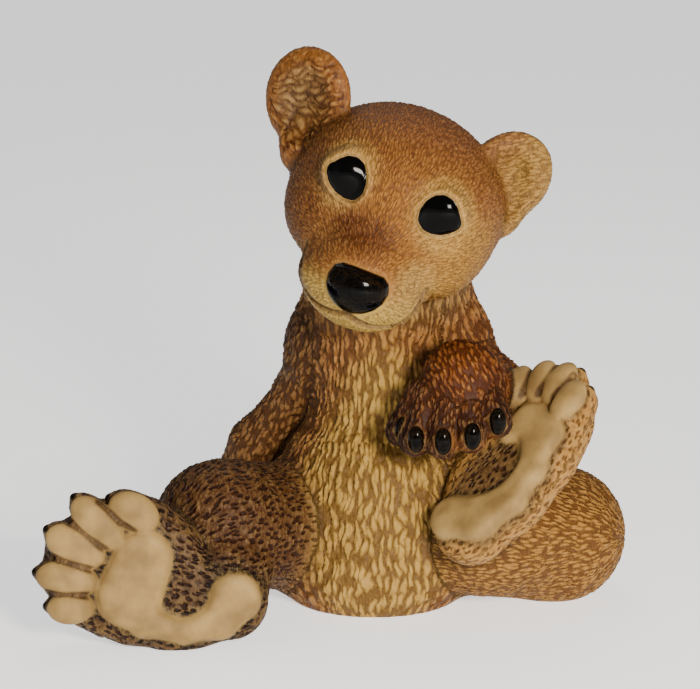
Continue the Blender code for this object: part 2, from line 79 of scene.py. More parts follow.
# Blends between neighbouring forms, in hundredths.
SOFT = 5.0
MEDIUM = 2.6
TIGHT = 1.2
CREASED = 0.45
SHARP = 0.3

# How the clay is worked, in hundredths.
FAR = 30.0
COARSE_GRAIN = 0.85
FINE_GRAIN = 0.235
LONGEST_PRESS = 1.2
SLOPE_STEP = 0.05
CHUNK = 24000  # points that one worker handles at a time
WORKERS = 4
TRIANGLES_KEPT = 196000


def lay_pellet(clay: bmesh.types.BMesh, place: Matrix) -> None:
    """Adds a ball of one hundredth's radius, placed by a matrix, to a bmesh."""
    mesh = bpy.data.meshes.get("pellet")
    if mesh is None:
        mesh = bpy.data.meshes.new("pellet")
        pellet = bmesh.new()
        bmesh.ops.create_icosphere(pellet, subdivisions=3, radius=1.0)
        pellet.to_mesh(mesh)
        pellet.free()
    mesh.transform(place)
    clay.from_mesh(mesh)
    mesh.transform(place.inverted())


@dataclass(frozen=True)
class Ball:
    """An ellipsoid: centre and three radii in hundredths, turned by a matrix."""

    centre: tuple
    radii: tuple
    turn: Matrix = Matrix.Identity(3)

    def distance(self, points: np.ndarray) -> np.ndarray:
        """Measures how far points lie outside the form.

        Args:
            points: Places in hundredths, one a row.

        Returns:
            One signed distance a point, negative inside.
        """
        local = (points - np.array(self.centre, np.float32)) @ np.array(self.turn, np.float32)
        local /= np.array(self.radii, np.float32)
        near = np.sqrt(np.einsum("ij,ij->i", local, local))
        local /= np.array(self.radii, np.float32)
        steep = np.sqrt(np.einsum("ij,ij->i", local, local))
        return near * (near - 1.0) / np.maximum(steep, 1e-6)

    def reach(self) -> tuple:
        """Middle and radius of a sphere that holds the form."""
        return np.array(self.centre), max(self.radii)

    def lay(self, clay: bmesh.types.BMesh) -> None:
        """Adds the form to a bmesh as a plain ball."""
        place = Matrix.Translation(self.centre) @ self.turn.to_4x4() @ Matrix.Diagonal((*self.radii, 1.0))
        lay_pellet(clay, place)


@dataclass(frozen=True)
class Limb:
    """A tapered rod with round ends: two points and their radii, in hundredths."""

    start: tuple
    end: tuple
    start_radius: float
    end_radius: float

    def distance(self, points: np.ndarray) -> np.ndarray:
        """Measures how far points lie outside the form.

        Args:
            points: Places in hundredths, one a row.

        Returns:
            One signed distance a point, negative inside.
        """
        start = np.array(self.start, np.float32)
        along = np.array(self.end, np.float32) - start
        offset = points - start
        share = np.clip(offset @ (along / (along @ along)), 0.0, 1.0)
        offset -= share[:, None] * along
        radius = self.start_radius + (self.end_radius - self.start_radius) * share
        return np.sqrt(np.einsum("ij,ij->i", offset, offset)) - radius

    def reach(self) -> tuple:
        """Middle and radius of a sphere that holds the form."""
        start, end = np.array(self.start), np.array(self.end)
        return (start + end) / 2, np.linalg.norm(end - start) / 2 + max(self.start_radius, self.end_radius)

    def lay(self, clay: bmesh.types.BMesh) -> None:
        """Adds the form to a bmesh as a row of balls close enough to fuse."""
        start, end = Vector(self.start), Vector(self.end)
        steps = max(2, math.ceil((end - start).length / min(self.start_radius, self.end_radius) * 2.0))
        for number in range(steps + 1):
            share = number / steps
            radius = self.start_radius + (self.end_radius - self.start_radius) * share
            lay_pellet(clay, Matrix.Translation(start.lerp(end, share)) @ Matrix.Scale(radius, 4))


@dataclass(frozen=True)
class Frame:
    """A local frame: an origin in hundredths and the matrix that turns its axes into the figure's."""

    origin: Vector
    turn: Matrix

    def place(self, point: tuple) -> tuple:
        """A local point in the figure's frame."""
        return tuple(self.origin + self.turn @ Vector(point))

    def local(self, points: np.ndarray) -> np.ndarray:
        """The figure's points in this frame, one a row."""
        return (points - np.array(self.origin, np.float32)) @ np.array(self.turn, np.float32)

    def ball(self, centre: tuple, radii: tuple, euler: tuple = (0.0, 0.0, 0.0)) -> Ball:
        """A Ball given by local values, turned further by Euler angles in degrees."""
        spin = Euler([math.radians(angle) for angle in euler]).to_matrix()
        return Ball(self.place(centre), radii, self.turn @ spin)

    def limb(self, start: tuple, end: tuple, start_radius: float, end_radius: float) -> Limb:
        """A Limb given by local values."""
        return Limb(self.place(start), self.place(end), start_radius, end_radius)

    def spike(self, start: tuple, end: tuple, width: float, depth: float) -> Ball:
        """Stretches a Ball between two local points.

        Args:
            start: Local point of its root.
            end: Local point of its tip.
            width: Radius across.
            depth: Radius towards the local +Z.

        Returns:
            The ball in the figure's frame.
        """
        start, end = Vector(start), Vector(end)
        along = (end - start).normalized()
        side = along.cross(Vector((0.0, 0.0, 1.0))).normalized()
        turn = Matrix((side, along, side.cross(along))).transposed()
        radii = (width, (end - start).length / 2, depth)
        return Ball(self.place((start + end) / 2), radii, self.turn @ turn)


@dataclass(frozen=True)
class Plate:
    """A slab that follows a route in a frame's XY plane, with a level top and round edges."""

    frame: Frame
    route: tuple  # rows of x, y and radius
    rise: float  # height of the top over the plane
    depth: float  # how far the slab goes below the plane
    rounding: float

    def distance(self, points: np.ndarray) -> np.ndarray:
        """Measures how far points lie outside the form.

        Args:
            points: Places in hundredths, one a row.

        Returns:
            One signed distance a point, negative inside.
        """
        local = self.frame.local(points)
        across = np.full(len(points), FAR, np.float32)
        for (x, y, r), (u, v, s) in zip(self.route, self.route[1:]):
            way = np.array((u - x, v - y), np.float32)
            from_start = local[:, :2] - np.array((x, y), np.float32)
            share = np.clip(from_start @ (way / (way @ way)), 0.0, 1.0)
            from_start -= share[:, None] * way
            near = np.sqrt(np.einsum("ij,ij->i", from_start, from_start)) - (r + (s - r) * share)
            across = soft_least(across, near, Foot.PAD_ROUND)
        middle = (self.rise - self.depth) / 2
        level = np.abs(local[:, 2] - middle) - (self.rise + self.depth) / 2
        return -soft_least(-across, -level, self.rounding)

    def reach(self) -> tuple:
        """Middle and radius of a sphere that holds the form."""
        places = np.array([(x, y, 0.0) for x, y, _ in self.route])
        middle = places.mean(axis=0)
        radius = max(np.linalg.norm(place - middle) + row[2] for place, row in zip(places, self.route))
        return np.array(self.frame.place(tuple(middle))), radius + self.depth

    def lay(self, clay: bmesh.types.BMesh) -> None:
        """Adds the form to a bmesh as flattened balls along the route."""
        for (x, y, r), (u, v, s) in zip(self.route, self.route[1:]):
            steps = max(1, math.ceil(math.hypot(u - x, v - y) / min(r, s) * 1.5))
            for number in range(steps + 1):
                share = number / steps
                radius = r + (s - r) * share
                at = (x + (u - x) * share, y + (v - y) * share, -self.depth / 2)
                self.frame.ball(at, (radius, radius, self.depth / 2)).lay(clay)


@dataclass(frozen=True)
class Outlined:
    """A prism along a frame's Y, with an outline in its XZ plane, rounded off by a ball."""

    frame: Frame
    outline: tuple  # corners x, z
    bound: Ball
    rounding: float

    def across(self, points: np.ndarray) -> np.ndarray:
        """Measures how far points lie outside the outline, seen along Y.

        Args:
            points: Places in hundredths, one a row.

        Returns:
            One signed distance a point, negative inside.
        """
        local = self.frame.local(points)[:, (0, 2)]
        near = np.full(len(points), FAR, np.float32)
        inside = np.zeros(len(points), bool)
        for (x, z), (u, w) in zip(self.outline, self.outline[1:] + self.outline[:1]):
            way = np.array((u - x, w - z), np.float32)
            offset = local - np.array((x, z), np.float32)
            share = np.clip(offset @ (way / (way @ way)), 0.0, 1.0)
            gap = offset - share[:, None] * way
            near = np.minimum(near, np.sqrt(np.einsum("ij,ij->i", gap, gap)))
            between = (offset[:, 1] < 0.0) != (offset[:, 1] < way[1])
            left = offset[:, 0] < way[0] * offset[:, 1] / (way[1] if way[1] else 1e-6)
            inside ^= between & left
        return np.where(inside, -near, near)

    def distance(self, points: np.ndarray) -> np.ndarray:
        """Measures how far points lie outside the form.

        Args:
            points: Places in hundredths, one a row.

        Returns:
            One signed distance a point, negative inside.
        """
        return -soft_least(-self.across(points), -self.bound.distance(points), self.rounding)

    def reach(self) -> tuple:
        """Middle and radius of a sphere that holds the form."""
        return self.bound.reach()

    def lay(self, clay: bmesh.types.BMesh) -> None:
        """Adds the form to a bmesh as the ball that rounds it off, drawn in."""
        radii = tuple(radius * 0.7 for radius in self.bound.radii)
        Ball(self.bound.centre, radii, self.bound.turn).lay(clay)


class Finishing(Enum):
    """What the painter does with a form: leaves it to the coat, glosses it black or pads it."""

    COAT = "coat"
    BLACK = "black"
    PAD = "pad"
    DARK_LINE = "dark line"


@dataclass(frozen=True)
class Row:
    """A form in a group, its blend with the forms before it and its paint."""

    form: object
    blend: float
    cuts: bool = False  # the form is carved away instead of added
    paint: Finishing = Finishing.COAT
    laid: bool = True  # the form is part of the rough clay


@dataclass(frozen=True)
class Group:
    """Forms that are joined with one another before they join the figure."""

    name: str
    rows: list
    blend: float


def soft_least(one: np.ndarray, other: np.ndarray, blend: float) -> np.ndarray:
    """Takes the lesser of two distances, rounded over where they are nearly the same.

    Args:
        one: First distances.
        other: Second distances.
        blend: Difference under which the two are rounded over.

    Returns:
        The blended distances.
    """
    share = np.clip(0.5 + (other - one) * (0.5 / blend), 0.0, 1.0)
    return other + (one - other) * share - blend * share * (1.0 - share)


def mirrored(point: tuple, side: int) -> tuple:
    """The point with its first value on the given side, -1 or +1."""
    return (point[0] * side, *point[1:])


class Head:
    """Head of the cub: skull, muzzle, ears and face."""

    LEAN, TURNED, NOD = 21.0, -6.0, 12.0  # degrees
    ORIGIN = (11.0, -10.0, 73.0)
    EYE = (8.7, -13.4, 7.8)
    EYE_REACH = 7.5
    EYE_ROUND = 0.46  # how far the corners of the outlines are rounded off
    NOSE_MIDDLE = (0.0, -20.2, -7.4)
    NOSE = (
        # outline of the nose, x and z
        (-3.6, -3.5),
        (-1.2, -3.2),
        (1.6, -3.2),
        (3.8, -3.4),
        (5.0, -4.4),
        (5.5, -6.0),
        (5.2, -7.8),
        (4.2, -9.4),
        (2.6, -10.7),
        (0.8, -11.4),
        (-0.8, -11.4),
        (-2.6, -10.8),
        (-4.2, -9.6),
        (-5.2, -8.0),
        (-5.4, -6.2),
        (-4.9, -4.5),
    )
    LEFT_EYE = (
        # opening of the eye on the viewer's left, x and z in the head's frame, from its top on
        (-9.4, 11.3),
        (-8.2, 11.5),
        (-7.0, 11.1),
        (-6.0, 9.8),
        (-5.4, 8.0),
        (-5.3, 6.2),
        (-5.9, 5.0),
        (-7.4, 4.7),
        (-9.2, 5.1),
        (-10.9, 6.3),
        (-12.3, 8.3),
        (-11.4, 9.2),
        (-10.5, 10.4),
    )
    RIGHT_EYE = (
        # opening of the eye on the viewer's right, from its top on
        (8.0, 11.2),
        (9.4, 11.0),
        (10.5, 10.1),
        (11.6, 8.6),
        (12.6, 6.8),
        (11.3, 5.6),
        (9.8, 4.8),
        (8.2, 4.6),
        (6.8, 4.9),
        (5.6, 6.0),
        (5.3, 7.6),
        (5.8, 9.5),
        (6.8, 10.7),
    )
    FOLDS = ((1.3, -1.1, 0.36), (2.4, -1.9, 0.3))  # shifts and depths of the folds outside the mouth's line
    LINE_SINK = 0.45  # how far behind the bare skull's front those lines run
    MOUTH = (
        # half of the line of the mouth, x and z, from under the nose out to its corner
        (0.0, -11.0),
        (0.25, -11.9),
        (1.6, -12.5),
        (3.2, -12.9),
        (5.0, -13.1),
        (6.8, -12.8),
        (8.4, -11.9),
        (9.6, -10.7),
        (10.4, -9.2),
        (10.8, -7.6),
        (10.9, -6.2),
    )

    def __init__(self) -> None:
        """Sets the head's frame: it leans to the viewer's right and looks a little down."""
        turn = (
            Matrix.Rotation(math.radians(self.LEAN), 3, "Y")
            @ Matrix.Rotation(math.radians(self.TURNED), 3, "Z")
            @ Matrix.Rotation(math.radians(self.NOD), 3, "X")
        )
        self.frame = Frame(Vector(self.ORIGIN), turn)

    def skull(self) -> list:
        """Skull, brow, cheeks, muzzle and chin."""
        ball, limb = self.frame.ball, self.frame.limb
        rows = [
            Row(ball((0.4, 0, 1.8), (19.2, 17.0, 16.6)), SOFT),
            Row(ball((0, -7, 6.5), (13.0, 9.4, 9.0)), SOFT),
            Row(limb((0, -9, -3.6), (0, -15.2, -7.2), 10.4, 9.2), SOFT),
            Row(ball((0, -16.4, -9.4), (10.9, 7.6, 6.2)), MEDIUM),
            Row(ball((0, -14.6, -12.6), (7.8, 7.2, 3.6)), MEDIUM),
        ]
        for side in (-1, 1):
            rows.append(Row(ball(mirrored((9.4, -5.6, -3.4), side), (7.2, 8.4, 6.6)), SOFT))
        return rows

    def ears(self) -> dict:
        """Two round ears with hollow fronts; the one on the viewer's right is folded further back."""
        ball = self.frame.ball
        left, right = (0.0, 0.0, -20.0), (0.0, 0.0, 22.0)
        return {
            "left_ear": [
                Row(ball((-20.6, 1.8, 12.4), (8.3, 2.9, 9.3), left), MEDIUM),
                Row(ball((-18.8, -0.4, 5.2), (3.8, 3.4, 5.8), left), MEDIUM),
                Row(ball((-22.2, -3.4, 12.4), (6.3, 5.4, 7.6), left), TIGHT, cuts=True),
            ],
            "right_ear": [
                Row(ball((17.0, 4.2, 11.7), (7.9, 2.9, 8.7), right), MEDIUM),
                Row(ball((17.8, 2.8, 5.4), (4.2, 3.2, 5.2), right), MEDIUM),
                Row(ball((18.0, -1.0, 11.4), (6.2, 5.3, 7.2), right), TIGHT, cuts=True),
            ],
        }

    def on_skin(self, route: list) -> list:
        """Lays a route on the front of the head.

        Args:
            route: Pairs x, z in the head's frame.

        Returns:
            The points x, y, z on the skin.
        """
        front = np.full(len(route), -32.0, np.float32)
        back = np.full(len(route), -8.0, np.float32)
        turn, origin = np.array(self.frame.turn, np.float32), np.array(self.frame.origin, np.float32)
        for _ in range(20):
            middle = (front + back) / 2
            places = np.array([(x, y, z) for (x, z), y in zip(route, middle)], np.float32) @ turn.T + origin
            found = np.full(len(route), FAR, np.float32)
            for row in self.skull():
                found = soft_least(found, row.form.distance(places), row.blend)
            front, back = np.where(found > 0.0, middle, front), np.where(found > 0.0, back, middle)
        return [(x, float(y) + self.LINE_SINK, z) for (x, z), y in zip(route, front)]

    def face(self) -> list:
        """Mouth line with its folds, eyeballs, nose and nostrils."""
        ball, limb = self.frame.ball, self.frame.limb
        rows = []
        for side in (-1, 1):
            route = self.on_skin([mirrored(corner, side) for corner in self.MOUTH])
            for start, end in zip(route, route[1:]):
                rows.append(Row(limb(start, end, 0.6, 0.6), SHARP, cuts=True, paint=Finishing.DARK_LINE))
            for x_shift, z_shift, depth in self.FOLDS:
                fold = [mirrored((x + x_shift, z + z_shift), side) for x, z in self.MOUTH[5:]]
                fold = self.on_skin(fold)
                for start, end in zip(fold, fold[1:]):
                    # the folds on the viewer's left, away from the key light, get the dark line's paint: a dark wash
                    # and painted shade
                    tint = Finishing.DARK_LINE if side < 0 else Finishing.COAT
                    rows.append(Row(limb(start, end, depth, depth), SHARP, cuts=True, paint=tint))
        for side in (-1, 1):
            rows.append(Row(ball(mirrored(self.EYE, side), (4.6, 3.4, 4.5)), TIGHT))
        nose = Outlined(self.frame, self.NOSE, ball(self.NOSE_MIDDLE, (7.4, 6.6, 6.2), (-8.0, 0.0, 0.0)), 1.3)
        rows.append(Row(nose, CREASED, paint=Finishing.BLACK))
        for side in (-1, 1):
            start, end = mirrored((2.5, -26.6, -8.3), side), mirrored((4.4, -24.8, -7.6), side)
            rows.append(Row(limb(start, end, 0.42, 0.3), SHARP, cuts=True))
        return rows

    def eye_gap(self, points: np.ndarray) -> np.ndarray:
        """Measures how far points lie outside the openings of the eyes.

        Args:
            points: Places in hundredths.

        Returns:
            Distance to the nearer outline seen along the head's Y, negative inside it.
        """
        local = self.frame.local(points)
        gap = np.full(len(points), FAR, np.float32)
        for side, outline in ((-1, self.LEFT_EYE), (1, self.RIGHT_EYE)):
            middle = mirrored(self.EYE, side)
            close = ((local - np.array(middle, np.float32)) ** 2).sum(axis=1) < self.EYE_REACH**2
            core = np.array(outline) * (1.0 - self.EYE_ROUND) + np.mean(outline, axis=0) * self.EYE_ROUND
            eye = Outlined(self.frame, tuple(map(tuple, core.tolist())), self.frame.ball(middle, (9.0, 9.0, 9.0)), 0.1)
            gap[close] = eye.across(points[close]) - self.EYE_ROUND * self.EYE_REACH / 2
        return gap

    def lid_rise(self, gap: np.ndarray) -> np.ndarray:
        """Shapes the lids: a rim round each opening and a fine crease where it meets the eye.

        Args:
            gap: Distance to the openings of the eyes.

        Returns:
            Rise of the skin at each point, in hundredths.
        """
        rim = 0.34 * np.exp(-(((gap - 0.6) / 0.4) ** 2))
        crease = -0.2 * np.exp(-((gap / 0.22) ** 2))
        return rim + crease


class Body:
    """Torso, arms and legs of the cub."""

    PAW_ON_GROUND = Vector((-25.0, 5.5, 2.4))
    LEFT_PAW_SPREAD = (-52.0, -18.0, 16.0, 50.0, 84.0)  # headings of its digits, in degrees
    RIGHT_PAW_DIGITS = (
        # where each digit starts and ends, from the inner side of the paw to the outer
        ((16.5, -22.0, 42.0), (12.6, -23.5, 35.8)),
        ((17.8, -24.0, 42.0), (14.8, -27.0, 35.0)),
        ((20.8, -25.0, 42.5), (19.4, -29.0, 35.2)),
        ((24.0, -25.0, 42.5), (24.4, -29.2, 36.2)),
        ((26.6, -24.0, 43.0), (28.8, -27.6, 38.4)),
    )

    def torso(self) -> list:
        """Neck, chest, belly and rump."""
        return [
            Row(Ball((8.6, -3.0, 17.0), (19.2, 17.2, 20.0)), SOFT),
            Row(Ball((8.0, -5.0, 7.5), (18.5, 17.0, 13.0)), SOFT),
            Row(Ball((8.5, 6.0, 13.0), (20.0, 16.5, 16.0)), SOFT),
            Row(Ball((10.4, 1.0, 39.0), (14.0, 13.5, 15.0)), SOFT),
            Row(Limb((10.8, 0.0, 48.0), (10.5, -4.0, 62.0), 12.5, 12.5), SOFT),
            Row(Limb((9.5, 8.0, 24.0), (10.5, 5.5, 46.0), 14.0, 11.5), SOFT),
            Row(Limb((-0.5, 2.0, 46.0), (4.0, 1.0, 55.0), 7.5, 8.3), SOFT),
            Row(Limb((20.5, 2.0, 46.0), (16.5, 1.0, 55.0), 9.0, 8.3), SOFT),
            Row(Limb((10.5, 5.5, 46.0), (11.5, 0.5, 64.0), 11.5, 12.0), SOFT),
        ]

    def left_arm(self) -> list:
        """The arm on the viewer's left leans on the ground behind the knee."""
        return [
            Row(Ball((-0.9, 1.0, 45.5), (7.1, 7.6, 9.5)), SOFT),
            Row(Limb((-2.8, 1.5, 41.5), (-5.4, 3.5, 36.6), 5.7, 4.4), MEDIUM),
            Row(Limb((-5.4, 3.5, 36.6), (-14.4, 6.2, 26.0), 4.2, 3.8), MEDIUM),
            Row(Limb((-14.4, 6.2, 26.0), (-23.0, 8.5, 6.5), 3.8, 4.8), MEDIUM),
            Row(Limb((-3.0, 7.0, 33.0), (-15.0, 9.5, 13.0), 4.6, 5.2), MEDIUM),
            Row(Ball((-25.5, 6.5, 3.2), (6.6, 7.0, 4.2)), MEDIUM),
        ]

    def left_paw(self) -> list:
        """Digits and claws of the forepaw that stands on the ground."""
        rows = []
        for turned in self.LEFT_PAW_SPREAD:
            way = Matrix.Rotation(math.radians(turned), 3, "Z") @ Vector((-1.0, 0.0, 0.0))
            root, tip = self.PAW_ON_GROUND + way * 3.0, self.PAW_ON_GROUND + way * 7.6
            rows.append(Row(Limb(tuple(root), tuple(tip), 2.5, 2.2), CREASED))
            claw = tip + way * 1.9 + Vector((0.0, 0.0, -0.3))
            rows.append(Row(Ball(tuple(claw), (1.5, 1.5, 1.2)), CREASED, paint=Finishing.BLACK))
        return rows

    def right_arm(self) -> list:
        """The arm on the viewer's right comes forward and lays its paw on the foot."""
        return [
            Row(Ball((20.0, 1.0, 45.5), (8.2, 9.0, 10.0)), SOFT),
            Row(Limb((23.5, 1.0, 43.0), (29.5, -3.0, 38.0), 6.4, 5.6), MEDIUM),
            Row(Limb((29.5, -3.0, 38.0), (25.0, -18.0, 42.5), 5.8, 6.2), MEDIUM),
            Row(Ball((23.2, -21.5, 43.2), (7.6, 7.0, 8.4)), MEDIUM),
            Row(Ball((21.4, -23.0, 38.5), (9.2, 5.4, 6.0)), MEDIUM),
        ]

    def right_paw(self) -> list:
        """Digits and claws of the forepaw that lies on the foot."""
        rows = []
        for start, end in self.RIGHT_PAW_DIGITS:
            rows.append(Row(Limb(start, end, 3.1, 2.9), CREASED))
        for start, end in self.RIGHT_PAW_DIGITS:
            tip = Vector(end) + Vector((0.2, -2.6, 0.8))
            rows.append(Row(Ball(tuple(tip), (1.45, 1.2, 2.4)), SHARP, paint=Finishing.BLACK))
        return rows

    def left_leg(self) -> list:
        """Thigh, knee and shin of the leg on the viewer's left."""
        return [
            Row(Limb((0.0, 0.0, 11.0), (-17.0, -17.0, 17.0), 12.0, 11.0), SOFT),
            Row(Ball((-19.6, -20.0, 18.2), (11.2, 10.0, 11.0)), MEDIUM),
            Row(Limb((-18.5, -22.0, 14.0), (-18.0, -27.0, 11.0), 9.5, 8.0), MEDIUM),
        ]

    def right_leg(self) -> list:
        """Thigh, knee and shin of the leg on the viewer's right."""
        return [
            Row(Limb((18.0, 2.0, 10.2), (38.0, -3.0, 10.2), 12.0, 11.5), SOFT),
            Row(Ball((43.0, -4.0, 11.4), (10.9, 11.5, 11.8)), SOFT),
            Row(Limb((40.0, -8.0, 14.0), (29.0, -16.0, 17.0), 9.0, 9.0), MEDIUM),
            Row(Ball((28.0, -12.5, 12.0), (13.0, 9.5, 9.5)), SOFT),
            Row(Ball((27.0, -6.0, 27.0), (10.0, 9.0, 11.0)), MEDIUM),
        ]


@dataclass(frozen=True)
class Foot:
    """A hind foot: its frame (+X to the toes, +Y to the outer side, +Z out of the sole) and its pads."""

    PAD_RISE = 0.85  # how far the long pad stands out of the sole
    SOLE_SINK = 0.3  # how far the fur of the sole lies below the toes' pads
    WEB_SINK = 1.6  # how far the web between the toes lies below their pads
    PAD_DEPTH = 3.0
    PAD_ROUND = 1.3
    PAD_EDGE = 1.9
    SOLE_ROUND = 4.5

    frame: Frame
    toes: tuple  # rows of x, y, half length, half width and heading in degrees
    pad_route: tuple  # rows of x, y and radius along the long pad
    body_route: tuple  # rows of x, y and radius along the whole sole
    web_route: tuple  # rows of x, y and radius along the roots of the toes
    depth: float  # thickness of the foot

    def rows(self) -> list:
        """The foot's body, raised pads, toes and claws."""
        frame = self.frame
        rows = [
            Row(Plate(frame, self.body_route, -self.SOLE_SINK, self.depth, self.SOLE_ROUND), MEDIUM),
            Row(Plate(frame, self.web_route, -self.WEB_SINK, self.depth - self.WEB_SINK, self.SOLE_ROUND), MEDIUM),
        ]
        for x, y, length, width, heading in self.toes:
            toe = frame.ball((x, y, -3.4), (length + 0.6, width + 0.5, 4.0), (0, 0, heading))
            rows.append(Row(toe, CREASED))
        pad = Plate(frame, self.pad_route, self.PAD_RISE, self.PAD_DEPTH, self.PAD_EDGE)
        rows.append(Row(pad, CREASED, paint=Finishing.PAD))
        for x, y, length, width, heading in self.toes:
            toe = frame.ball((x, y, 0.0), (length + 0.2, width + 0.65, 1.8), (0, 0, heading))
            rows.append(Row(toe, CREASED, paint=Finishing.PAD))
        for toe, next_toe in zip(self.toes, self.toes[1:]):
            root, tip = ((self.toe_end(toe, share) + self.toe_end(next_toe, share)) / 2 for share in (-0.85, 0.8))
            gap = frame.limb((*root, 1.1), (*tip, 0.4), 0.4, 0.5)
            rows.append(Row(gap, SHARP, cuts=True, paint=Finishing.DARK_LINE))
        for x, y, length, width, heading in self.toes:
            way = Vector((math.cos(math.radians(heading)), math.sin(math.radians(heading)), 0.0))
            root = Vector((x, y, -3.0)) + way * (length - 0.6)
            claw = frame.spike(tuple(root - way * 1.6), tuple(root + way * 1.6), 1.2, 1.5)
            rows.append(Row(claw, SHARP, paint=Finishing.BLACK))
        return rows


    def toe_end(self, toe: tuple, share: float) -> np.ndarray:
        """Finds a point on the middle line of a toe.

        Args:
            toe: Row of the toe.
            share: Way from its middle to its tip, or to its root if negative.

        Returns:
            The point's x and y in the foot's frame.
        """
        x, y, length, _, heading = toe
        angle = math.radians(heading)
        return np.array((x + share * length * math.cos(angle), y + share * length * math.sin(angle)))


def foot_frame(heel: tuple, toe_way: tuple, outer_way: tuple) -> Frame:
    """Sets a hind foot in the figure.

    Args:
        heel: Middle of the heel's pad.
        toe_way: Direction from the heel to the toes.
        outer_way: Rough direction of the foot's outer side.

    Returns:
        The foot's frame.
    """
    along = Vector(toe_way).normalized()
    outer = (Vector(outer_way) - along * Vector(outer_way).dot(along)).normalized()
    out = along.cross(outer)
    if out.y > 0:
        out = -out
    return Frame(Vector(heel), Matrix((along, outer, out)).transposed())


def left_foot() -> Foot:
    """The sole on the viewer's left faces the viewer, toes to the left."""
    frame = foot_frame((-16.3, -35.5, 9.2), (-0.965, -0.06, 0.25), (-0.2, -0.2, -0.95))
    toes = (
        (20.3, -10.6, 4.4, 2.6, -13.0),
        (26.0, -7.3, 5.4, 2.7, -34.0),
        (28.7, -2.6, 5.2, 2.8, -15.0),
        (28.8, 3.2, 5.1, 2.5, 4.0),
        (27.0, 7.9, 3.8, 2.2, 14.0),
    )
    pad_route = (
        (16.9, -3.0, 5.1),
        (17.6, 3.6, 5.5),
        (14.0, 7.4, 2.6),
        (7.0, 7.6, 1.9),
        (1.6, 4.6, 3.0),
        (-0.1, 0.2, 4.5),
    )
    body_route = (
        (0.4, 1.2, 6.8),
        (9.0, 3.0, 9.2),
        (16.8, 0.2, 12.4),
        (19.2, 0.2, 11.8),
    )
    web_route = (
        (19.0, -8.6, 4.6),
        (25.5, -6.0, 4.6),
        (28.6, -1.8, 4.8),
        (28.6, 3.0, 4.6),
        (25.8, 6.8, 3.8),
    )
    return Foot(frame, toes, pad_route, body_route, web_route, 9.5)


def right_foot() -> Foot:
    """The sole on the viewer's right is held up, turned to the left, with its toes curled a little."""
    frame = foot_frame((20.4, -26.0, 19.4), (0.60, 0.33, 0.73), (0.62, -0.76, -0.17))
    toes = (
        (25.0, -9.4, 3.4, 2.2, -25.0),
        (28.4, -6.0, 3.8, 2.2, -25.0),
        (31.0, -2.4, 4.0, 2.2, -14.0),
        (32.2, 1.2, 4.1, 2.2, 2.0),
        (30.2, 5.2, 3.9, 2.2, 4.0),
    )
    pad_route = (
        (20.4, -1.2, 2.4),
        (23.4, 0.8, 3.6),
        (22.6, 4.6, 3.8),
        (16.5, 7.2, 2.3),
        (10.0, 7.2, 2.7),
        (3.8, 3.8, 3.8),
        (1.8, -0.6, 4.2),
    )
    body_route = (
        (3.0, 1.2, 6.9),
        (11.0, 0.8, 9.8),
        (20.0, 0.2, 10.4),
        (23.0, 0.2, 9.8),
    )
    web_route = (
        (24.0, -7.0, 3.8),
        (28.0, -4.4, 3.8),
        (30.4, -1.2, 3.8),
        (30.8, 2.0, 3.8),
        (28.8, 4.6, 3.8),
    )
    return Foot(frame, toes, pad_route, body_route, web_route, 9.0)


